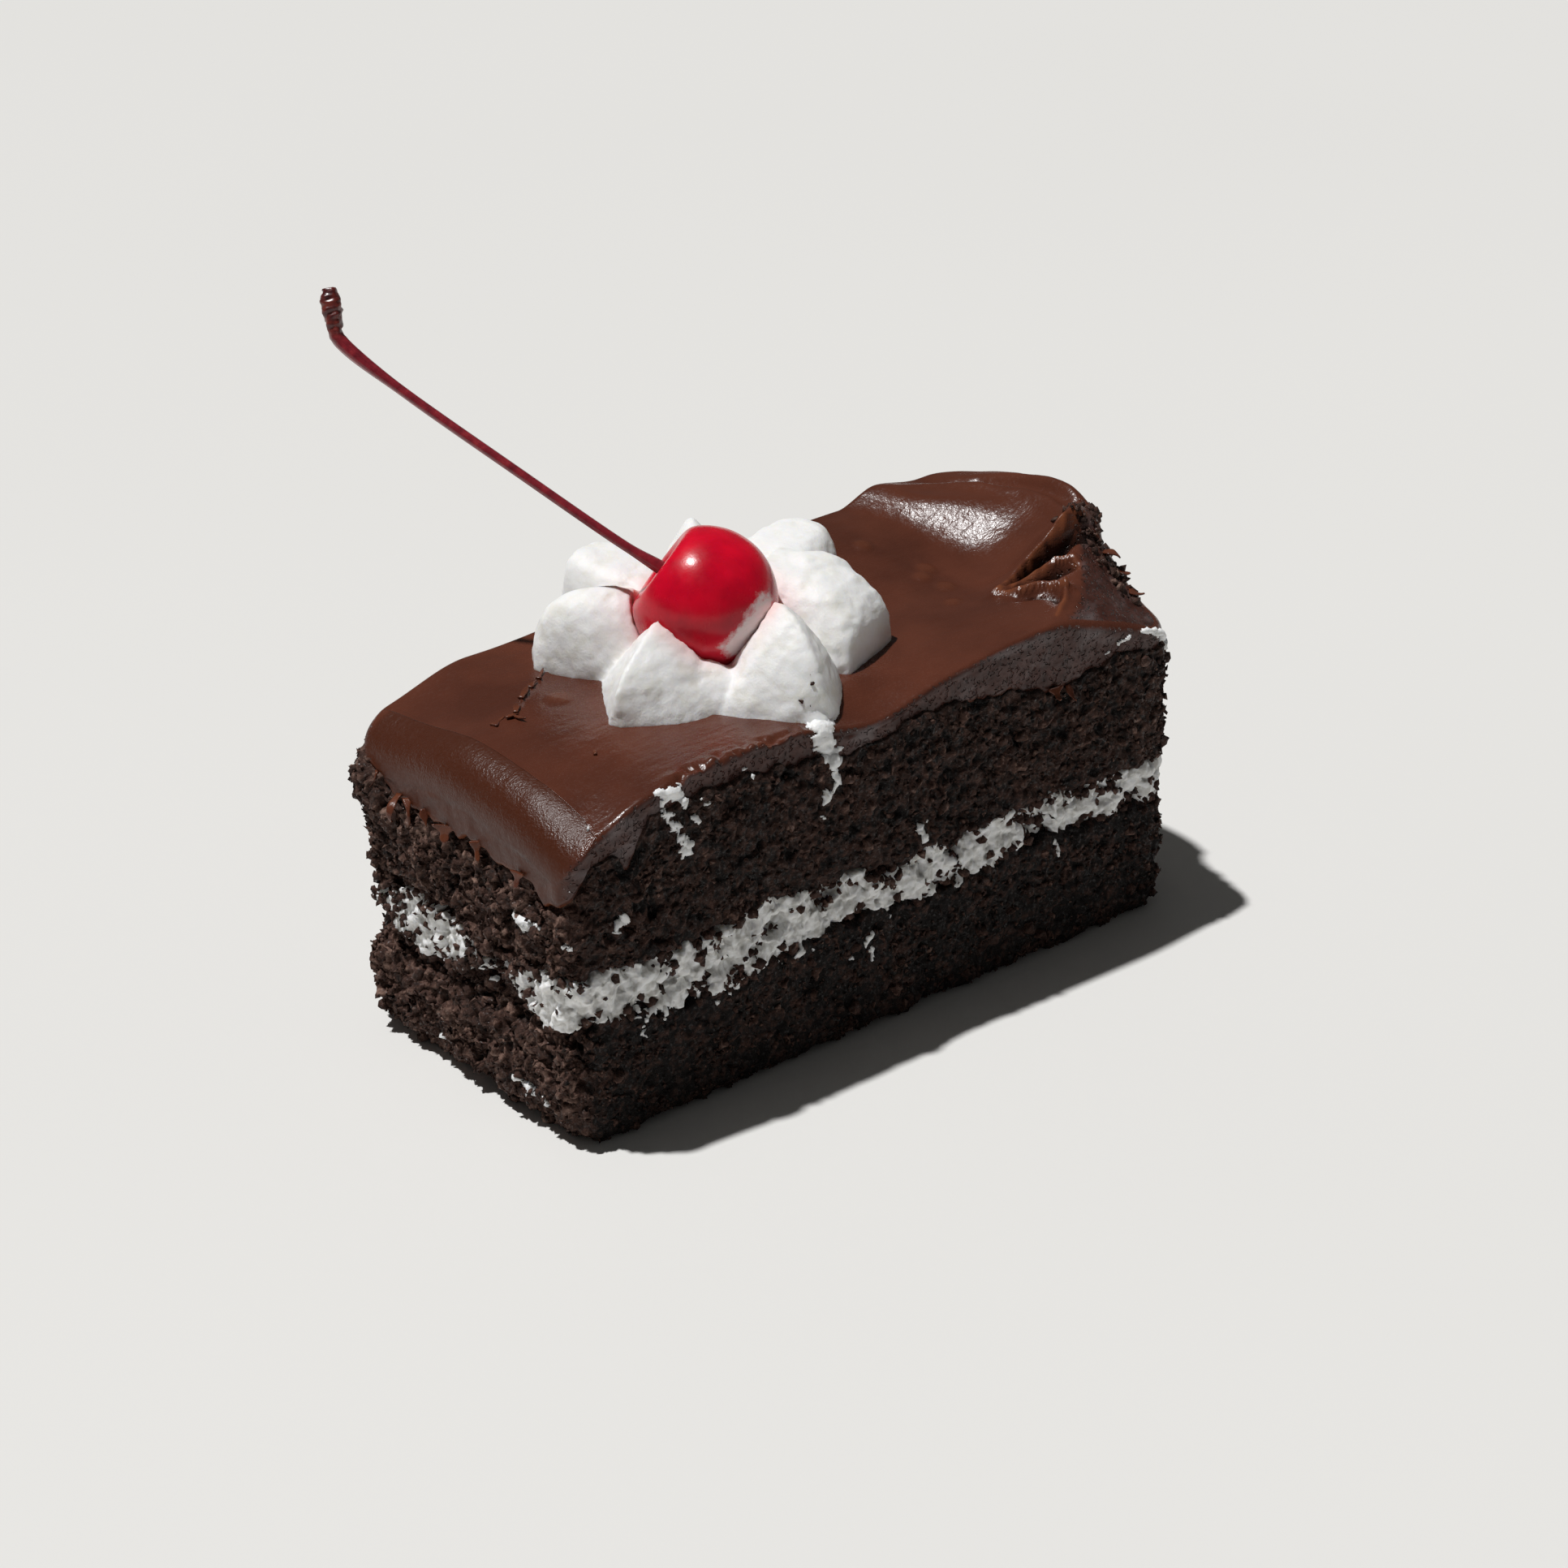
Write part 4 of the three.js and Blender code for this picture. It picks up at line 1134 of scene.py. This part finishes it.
# Painted glow: the lower part is painted lighter and pinker, for light shining through the fruit and thrown
# up from the cream.
mark(mesh, "low", smooth(59, 50, places[:, 2]))
cherry_finish, tree, shader = finish("cherry skin")
red = ramp(tree, grain(tree, 5.0, 3.0), [(0.35, CHERRY_RED), (0.66, CHERRY_BRIGHT)])
red = blended(tree, sums(tree, "MULTIPLY", marked(tree, "low"), 0.8), red, CHERRY_PAINTED_GLOW)
smeared = sums(tree, "MULTIPLY_ADD", marked(tree, "smeared"), 1.4, -1.3)
smeared = sums(tree, "MULTIPLY_ADD", grain(tree, 1.4, 4.0, 0.7, seed=6), 1.4, smeared)
smeared = sums(tree, "MULTIPLY", ramp(tree, smeared, [(0.0, 0), (0.4, 1)]), 0.75)
red = blended(tree, smeared, red, WHIPPED_PALE)
sheen = ramp(tree, grain(tree, 3.0, 4.0, seed=2), [(0.4, 0.22), (0.7, 0.34)])
join(tree, shader, {"Base Color": red, "Roughness": sheen, "Specular IOR Level": 0.3})
join(tree, shader, {"Subsurface Weight": 0.22, "Subsurface Radius": (1.0, 0.12, 0.08)})
join(tree, shader, {"Subsurface Scale": 1.6 * MM, "Coat Weight": 0.14, "Coat Roughness": 0.1})
relief(tree, shader, [(grain(tree, 2.2, 3.0), 0.08, 0.25), (grain(tree, 0.28, 2.0), 0.16, 0.07)])
cherry_fruit = stood("cherry_fruit", mesh, cherry_finish)
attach(cherry_fruit, "root")
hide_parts("cherry")

# ==== Cherry stem =================================================================================
# The cherry's long stem, dark red and ribbed from the syrup. It ends in the pale woody knob by which
# it hung on the tree, bent up from a kink.

STEM_RADIUS = 0.62
STEM_SIDES = 20
STEM_STEPS = 300
STEM_DEEP = (0.15, 0.009, 0.017)
STEM_RED = (0.25, 0.015, 0.026)
STEM_BRIGHT = (0.38, 0.035, 0.04)
WOOD_DEEP = (0.05, 0.006, 0.008)
WOOD_BROWN = (0.2, 0.03, 0.02)
STEM_COURSE = [
    (-19.9, 8.5, 65.9),
    (-27.2, 19.3, 73.9),
    (-35.4, 32.3, 83.2),
    (-39.8, 39.9, 89.1),
    (-39.9, 41.6, 92.0),
    (-39.2, 43.4, 95.6),
]
root_of_stem = CHERRY_CENTRE + np.array(STEM_AXIS) * (CHERRY_RADIUS * (1 - DIMPLE) - 0.2)
course = np.array([root_of_stem, *STEM_COURSE])


def through(points, steps):
    """Even points on a smooth curve through a few points."""
    knots = np.concatenate([[2 * points[0] - points[1]], points, [2 * points[-1] - points[-2]]])
    fine_points = []
    for a, b, c, d in zip(knots, knots[1:], knots[2:], knots[3:]):
        for t in np.linspace(0, 1, 60, endpoint=False):
            bend = (2 * a - 5 * b + 4 * c - d) * t**2 + (3 * b - a - 3 * c + d) * t**3
            fine_points.append(0.5 * (2 * b + (c - a) * t + bend))
    fine_points = np.array([*fine_points, points[-1]])
    run = np.concatenate([[0], np.cumsum(np.linalg.norm(np.diff(fine_points, axis=0), axis=1))])
    wanted = np.linspace(0, run[-1], steps)
    return np.stack([np.interp(wanted, run, fine_points[:, k]) for k in range(3)], axis=1)


centres = through(course, STEM_STEPS)
along = np.gradient(centres, axis=0)
along = along / np.linalg.norm(along, axis=1)[:, None]
side = np.cross(along, np.array([0.77, -0.64, 0]))
side = side / np.linalg.norm(side, axis=1)[:, None]
other = np.cross(along, side)
share = np.linspace(0, 1, STEM_STEPS)
thick = STEM_RADIUS + 0.3 * smooth(0.1, 0, share) + 0.3 * smooth(0.7, 0.88, share)
thick = thick + 0.4 * smooth(0.9, 0.96, share) * (1 - smooth(0.975, 1, share))
woody = smooth(0.86, 0.92, share)
around = np.arange(STEM_SIDES) / STEM_SIDES * 2 * math.pi
over, up = np.cos(around), np.sin(around)
rings = []
for k in range(STEM_STEPS):
    ribs = 0.07 * np.sin(5 * around + 2.0 * share[k]) + 0.045 * np.sin(8 * around - 3.0 * share[k])
    bark = woody[k] * 0.3 * lumps(over * 0.8, up * 0.8, share[k] * 80, 0.8, 40)
    radius = thick[k] * (1 + ribs + bark)
    rings.append(centres[k] + np.outer(radius * over, side[k]) + np.outer(radius * up, other[k]))
mesh = skin("cherry_stalk", rings)
mark(mesh, "woody", np.append(np.repeat(woody, STEM_SIDES), [0, 1]))
stem_finish, tree, shader = finish("cherry stem")
streak = grain(tree, 1.2, 3.0)
fresh = ramp(tree, streak, [(0.3, STEM_DEEP), (0.55, STEM_RED), (0.8, STEM_BRIGHT)])
wood = ramp(tree, streak, [(0.3, WOOD_DEEP), (0.7, WOOD_BROWN)])
mixed = blended(tree, marked(tree, "woody"), fresh, wood)
join(tree, shader, {"Base Color": mixed, "Roughness": 0.34, "Coat Weight": 0.15, "Coat Roughness": 0.2})
relief(tree, shader, [(streak, 0.4, 0.12)])
cherry_stalk = stood("cherry_stalk", mesh, stem_finish)
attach(cherry_stalk, "root")
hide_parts("cherry_stem")

# ==== Smears of cream =============================================================================
# Cream that the knife dragged from the filling and the rosette over the torn faces, with one drip
# from the rosette. Each smear is a thin skin on the face, broken up where the crumb shows through.

SMEAR_THICKNESS = 0.4
SMEAR_ROOT = 0.35
TOP_EDGE_Y = -23.5
ON_FRONT_Y = -17
ON_END_X = -48
# For each side, the courses of its smears: places with half the smear's width there. A place is the
# distance along the side and the height, which goes on over the edge of the top as if unrolled.
SMEARS = {
    "front": [
        [(-37.4, 46.6, 1.4), (-35.4, 46.4, 1.3)],
        [(-38, 45.8, 0.8), (-37, 43.2, 0.9), (-35.8, 41, 0.8), (-34.6, 38.2, 1.3)],
        [(-34.8, 45.8, 0.8), (-34.6, 43.6, 0.6)],
        [(-32.8, 42, 0.6), (-32.2, 40.2, 0.5)],
        [(-47.7, 46.6, 0.8), (-47.2, 45.6, 0.6)],
        [(-31, 43.4, 0.5), (-28.6, 44, 0.4)],
        [(-9, 52.4, 3.4), (-10, 50.2, 3.1), (-11, 48.4, 2.5), (-11.8, 46.4, 1.8), (-9.9, 42.4, 1.1)],
        [(-9.9, 42.4, 0.9), (-10, 39.8, 1), (-11.6, 37.4, 0.8), (-12.1, 35.2, 0.5)],
        [(-11.4, 46.4, 0.5), (-9, 43.8, 0.5)],
        [(-42.9, 18.2, 0.9), (-42.4, 16, 0.5), (-41.8, 13.6, 0.4)],
        [(-4.2, 15.6, 0.7), (-4, 13.4, 0.6), (-3.6, 11, 0.5)],
        [(-7.4, 13.2, 0.5), (-6.8, 11.6, 0.4)],
        [(-46.5, 31, 0.8), (-44.8, 32.4, 0.7), (-44, 31, 0.3)],
        [(5.6, 26, 0.9), (4.4, 28, 0.8), (5.6, 28.8, 0.6)],
        [(30, 17.5, 0.6), (30.4, 14.6, 0.4)],
        [(39, 43, 0.3), (44.2, 44.6, 0.4), (47.6, 43.9, 0.6), (50.2, 43, 1.3), (51.8, 42.2, 1.7)],
    ],
    "end": [
        [(-12.6, 30.8, 0.8), (-15.2, 30, 1.3), (-17.2, 30.4, 0.7)],
        [(-20.5, 29.2, 0.5), (-22.6, 29.8, 0.8)],
        [(7.4, 4.6, 0.8), (4.4, 3.8, 0.4)],
        [(-10.6, 6.4, 0.4), (-13.8, 5, 0.8), (-17.6, 4.6, 0.6)],
        [(-4, 16.6, 0.6), (-7, 17.4, 0.6)],
    ],
}

under = [sponge_layer_lower.data, sponge_layer_upper.data, frosting_coat.data]
faces_under = joined("faces under the smears", under)
places = places_of(faces_under)
px, py, pz = places.T
# For each side: the distance along it, the height on it and where it is.
sides = {
    "front": (px, pz + np.maximum(py - TOP_EDGE_Y, 0), py < ON_FRONT_Y),
    "end": (py, pz, px < ON_END_X),
}
cover = np.full(len(px), -9.0)
for side, courses in SMEARS.items():
    across, up, there = sides[side]
    for course in courses:
        for (ax, az, aw), (bx, bz, bw) in zip(course, course[1:]):
            dx, dz = bx - ax, bz - az
            t = np.clip(((across - ax) * dx + (up - az) * dz) / (dx * dx + dz * dz), 0, 1)
            far = np.hypot(across - ax - t * dx, up - az - t * dz)
            cover = np.maximum(cover, np.where(there, aw + (bw - aw) * t - far, -9))
# Threads dragged down from the filling, and flecks along the frosting's ragged edge.
threads = 2.0 * lumps(px, py, pz * 0.28, 0.9, 64) + 0.9 * lumps(px, py, pz, 4.0, 65) - 0.2
threads = threads - 0.32 * np.maximum(filling_middle(px, py) - filling_thickness(px, py) / 2 - pz, 0)
below = (py < ON_FRONT_Y) & (px < -13) & (px > -46) & (pz < filling_middle(px, py)) & (pz > 8)
cover = np.maximum(cover, np.where(below, threads, -9))
flecks = layered(px, py, pz, (1.7, 1.0, 66), (0.9, 3.4, 67)) - 1.1
ragged_edge = (py < -20) & (px < -13) & (px > -38) & (pz > frosting_edge(px, py) - 1.5)
cover = np.maximum(cover, np.where(ragged_edge, flecks, -9))
cover = cover + layered(px, py, pz, (0.75, 1.7, 62), (0.85, 0.75, 63)) - 0.2
kept = [p.vertices[:] for p in faces_under.polygons if min(cover[n] for n in p.vertices) > 0]
used = sorted({n for corners in kept for n in corners})
new_number = {n: k for k, n in enumerate(used)}
count = len(used)
places = places[used]
outward = of_points(faces_under, "normal")[used]
thick = (0.12 + SMEAR_THICKNESS * np.clip(cover[used], 0, 1.5))[:, None]
points = np.concatenate([places + outward * thick, places - outward * SMEAR_ROOT])
edges = {(a, b) for corners in kept for a, b in zip(corners, corners[1:] + corners[:1])}
faces = []
for corners in kept:
    numbers = [new_number[n] for n in corners]
    faces.append(numbers)
    faces.append([count + n for n in reversed(numbers)])
for a, b in sorted(edges):
    if (b, a) not in edges:
        a, b = new_number[a], new_number[b]
        faces.append([b, a, count + a, count + b])
mesh = mesh_of("cream_smears", points, faces)
mark(mesh, "hollow_shade_and_tone", np.full(len(points), 0.5))
cream_smears = stood("cream_smears", mesh, filling_finish)
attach(cream_smears, "root")

# ==== Flakes of frosting ==========================================================================
# Thin curls and shards that the knife tore from the frosting: along the lower edge of its left end,
# at its torn right end, and as a broken line on its top.

FLAKE_THICKNESS = 0.45
FLAKE_STEPS = 12
SKIRT_X = -HALF_LENGTH - 0.5
# Each flake: its root, with the height over the frosting's lower edge, its heading and its pitch in
# degrees, its length, its width and how far it curls.
FLAKES = [
    ((SKIRT_X, 17.6, 0.9), 150, -70, 2.6, 1.2, 30),
    ((SKIRT_X, 12.6, 0.9), 205, -10, 5, 1.3, -165),
    ((SKIRT_X, 11, 0.6), 240, -30, 4, 0.9, -120),
    ((SKIRT_X, 7.4, 0.9), 250, -60, 2.4, 1.2, 20),
    ((SKIRT_X, 2.4, 0.9), 215, -80, 2.4, 2.6, 40),
    ((SKIRT_X, -4.4, 0.9), 240, -75, 2.8, 1.4, 30),
    ((SKIRT_X, -13.4, 0.8), 190, -80, 2.2, 1.8, 30),
    ((29, -23.9, 0.6), 265, -55, 2, 2, 50),
    ((31.4, -23.9, 0.6), 275, -60, 2.6, 1.2, 50),
]
# Shards that lie on the top or stand at the torn right end, with the height over the top.
SHARDS = [
    ((-43.6, 4.2, 0.1), 20, 4, 2.6, 0.9, 10),
    ((-41.4, 4.4, 0.15), 350, 8, 1.8, 0.7, -15),
    ((-40.4, 4.4, 0.1), 280, 3, 2.4, 0.7, 20),
    ((-39.6, 4.8, 0.1), 48, 12, 2.8, 1, -25),
    ((-37, 7.2, 0.1), 35, 5, 3.2, 1.1, 12),
    ((-34.2, 9.2, 0.1), 25, 9, 2.2, 0.8, -20),
    ((-31.6, 10.6, 0.1), 40, 4, 2.6, 0.7, 15),
    ((-28.6, 12, 0.1), 15, 7, 2, 0.6, -10),
    ((-38.6, -10.9, 0.1), 60, 6, 1.2, 0.6, 10),
    ((50.6, -10.8, 0), 300, 5, 2.6, 1.8, -60),
    ((51.2, -13.2, 0), 335, -22, 1.9, 1.9, 45),
    ((50.8, -15.8, 0), 320, -20, 2.3, 1.7, 50),
]


def flake_skin(root, heading, pitch, length, width, curl):
    """One flake as a closed mesh: a tapering strip that bends upward or downward along its length."""
    a = math.radians(heading)
    across = np.array([-math.sin(a), math.cos(a), 0])
    place = np.array(root, dtype=float)
    around = np.arange(10) / 10 * 2 * math.pi
    rings = []
    for t in np.linspace(0, 1, FLAKE_STEPS):
        turn = math.radians(pitch + curl * t * t)
        forward = np.array([math.cos(a) * math.cos(turn), math.sin(a) * math.cos(turn), math.sin(turn)])
        upward = np.cross(forward, across)
        wobble = 1 + 0.35 * math.sin(7 * t + heading)
        wide = max(width * (1 - 0.85 * t**1.5) * wobble, 0.12) / 2
        thick = FLAKE_THICKNESS * (1 - 0.5 * t) / 2
        side = np.sign(np.cos(around)) * np.abs(np.cos(around)) ** 0.7
        cup = 0.25 * wide * side**2
        rings.append(place + np.outer(wide * side, across) + np.outer(thick * np.sin(around) + cup, upward))
        place = place + forward * length / (FLAKE_STEPS - 1)
    return skin("flake", rings)


bodies = []
for flakes, level_at in ((FLAKES, frosting_edge), (SHARDS, worked_top)):
    for (fx, fy, above), *rest in flakes:
        level = level_at(np.array([fx]), np.array([fy]))[0] + above
        bodies.append(flake_skin((fx, fy, level), *rest))
mesh = joined("frosting_flakes", bodies)
# The flakes are painted a patchy lighter brown, a painted glow of light shining through them.
mark(mesh, "thin", np.clip(0.22 + 0.45 * lumps(*places_of(mesh).T, 1.5, 80), 0, 1))
frosting_flakes = stood("frosting_flakes", mesh, frosting_finish)
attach(frosting_flakes, "root")

# ==== Crumbs on the cut faces =====================================================================
# Loose crumbs of the sponge that the knife rolled out and that stuck to the moist faces, to the cream
# and to the frosting's torn end. Each is a torn grain or a small clump.

CRUMB_INPUTS = ["Per square metre", "Smallest", "Largest", "Facets"]
CRUMB_SEED = 11

tree, crumb_in, crumb_out = tree_with("crumbs", CRUMB_INPUTS)
scatter_tree = tree
density = sums(tree, "MULTIPLY", marked(tree, "crumbs_here"), crumb_in["Per square metre"])
seed = node(tree, "FunctionNodeInputInt", integer=CRUMB_SEED).outputs[0]
spread_over = {"Mesh": crumb_in["Geometry"], "Density": density, "Seed": seed}
spots = node(tree, "GeometryNodeDistributePointsOnFaces", spread_over, distribute_method="RANDOM")
any_turn = {0: (0, 0, 0), 1: (6.28, 6.28, 6.28)}
turns = node(tree, "FunctionNodeRandomValue", any_turn, data_type="FLOAT_VECTOR").outputs[0]
power = node(tree, "FunctionNodeRandomValue", {2: 0.0, 3: 1.0}, data_type="FLOAT").outputs[1]
spread = sums(tree, "SUBTRACT", crumb_in["Largest"], crumb_in["Smallest"])
width = sums(tree, "MULTIPLY_ADD", sums(tree, "POWER", power, 2.2), spread, crumb_in["Smallest"])
width = sums(tree, "MULTIPLY", width, 0.5 * MM)
facets = node(tree, "FunctionNodeFloatToInt", {0: crumb_in["Facets"]}, rounding_mode="ROUND").outputs[0]
sides = node(tree, "FunctionNodeIntegerMath", {0: facets, 1: 2}, operation="ADD").outputs[0]
ball = node(tree, "GeometryNodeMeshUVSphere", {"Radius": 1.0, "Rings": facets, "Segments": sides})
placing = {"Points": spots.outputs[0], "Instance": ball.outputs[0], "Rotation": turns, "Scale": width}
placed = node(tree, "GeometryNodeInstanceOnPoints", placing)
real = node(tree, "GeometryNodeRealizeInstances", {"Geometry": placed.outputs[0]})
uneven = swayed(tree, 0.6, 1.0, 1.7 * MM)
uneven = node(tree, "GeometryNodeSetPosition", {"Geometry": real.outputs[0], "Offset": uneven})
tone = sums(tree, "MULTIPLY_ADD", field(tree, 1.2), 0.5, 0.5)
kept = with_height(tree, on_the_table(tree, uneven.outputs[0]), tone)
in_material(tree, kept, crumb_in, crumb_out)


def values_of(mesh, name):
    """The numbers kept at the points of a mesh."""
    values = np.zeros(len(mesh.vertices), dtype=np.float32)
    mesh.attributes[name].data.foreach_get("value", values)
    return values


sponges = [sponge_layer_lower.data, sponge_layer_upper.data]
layers = joined("layers", sponges)
mark(layers, "open_face", np.concatenate([values_of(sponge, "open_face") for sponge in sponges]))
px, py, pz = places_of(layers).T
clusters = np.clip(0.55 + 0.9 * lumps(px, py, pz, 5, 70), 0, 1) * (values_of(layers, "open_face") > 0.55)
silhouette = smooth(-HALF_LENGTH + 5, -HALF_LENGTH + 1, px) * smooth(14, 21, py) + right_end(px)
mark(layers, "crumbs_here", clusters * (1 + 1.5 * np.clip(silhouette, 0, 1)))
band = cream_layer.data
px, py, pz = places_of(band).T
from_middle = np.abs(pz - filling_middle(px, py)) / (filling_thickness(px, py) / 2)
thin_cream = layered(px, py, pz, (1, 4.2, 71), (0.5, 1.4, 72)) + 0.4 * from_middle - 0.22
dark = np.maximum(smooth(0.12, 0.42, thin_cream), cream_gaps(px, py, pz))
patch = cream_patches(py, pz) * left_end(px)
wanted = 0.05 + dark * (1 - 0.88 * patch) + left_end(px) - patch
mark(band, "crumbs_here", np.clip(wanted, 0, 1) * (values_of(band, "open_face") > 0.5))
coat = frosting_coat.data
px, py, pz = places_of(coat).T
torn_end = smooth(46.5, 50.5, px) * smooth(-1.5, -6, py) * smooth(-20, -14, py)
specks = smooth(0.55, 0.8, lumps(px, py, pz, 7, 74)) * smooth(0.3, 0.6, lumps(px, py, pz, 1.5, 75))
on_top = 0.05 * specks + 0.35 * specks * smooth(-19, -23, py) * smooth(20, -20, px)
mark(coat, "crumbs_here", np.clip(torn_end * (0.8 + lumps(px, py, pz, 2.5, 76)) + on_top, 0, 1))
piped = rosette_piped.data
px, py, pz = places_of(piped).T
fallen = np.exp(-(((px + 11.2) / 1.6) ** 2 + ((py + 19.6) / 2.0) ** 2 + ((pz - 51.5) / 1.8) ** 2))
mark(piped, "crumbs_here", fallen * (py < ON_FRONT_Y))
for name, source, *numbers in [
    ("crumbs_fine", layers, 1150000.0, 0.35, 1.0, 2.0),
    ("crumbs_coarse", layers, 60000.0, 0.8, 2.0, 5.0),
    ("crumbs_on_cream", band, 1300000.0, 0.5, 1.7, 3.0),
    ("crumbs_on_frosting", coat, 1300000.0, 0.5, 1.8, 3.0),
    ("crumbs_on_rosette", piped, 350000.0, 0.3, 0.7, 3.0),
]:
    settings = dict(zip(CRUMB_INPUTS, numbers))
    crumbs = grown(name, source, scatter_tree, {**settings, "Material": sponge_finish})
    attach(crumbs, "root")
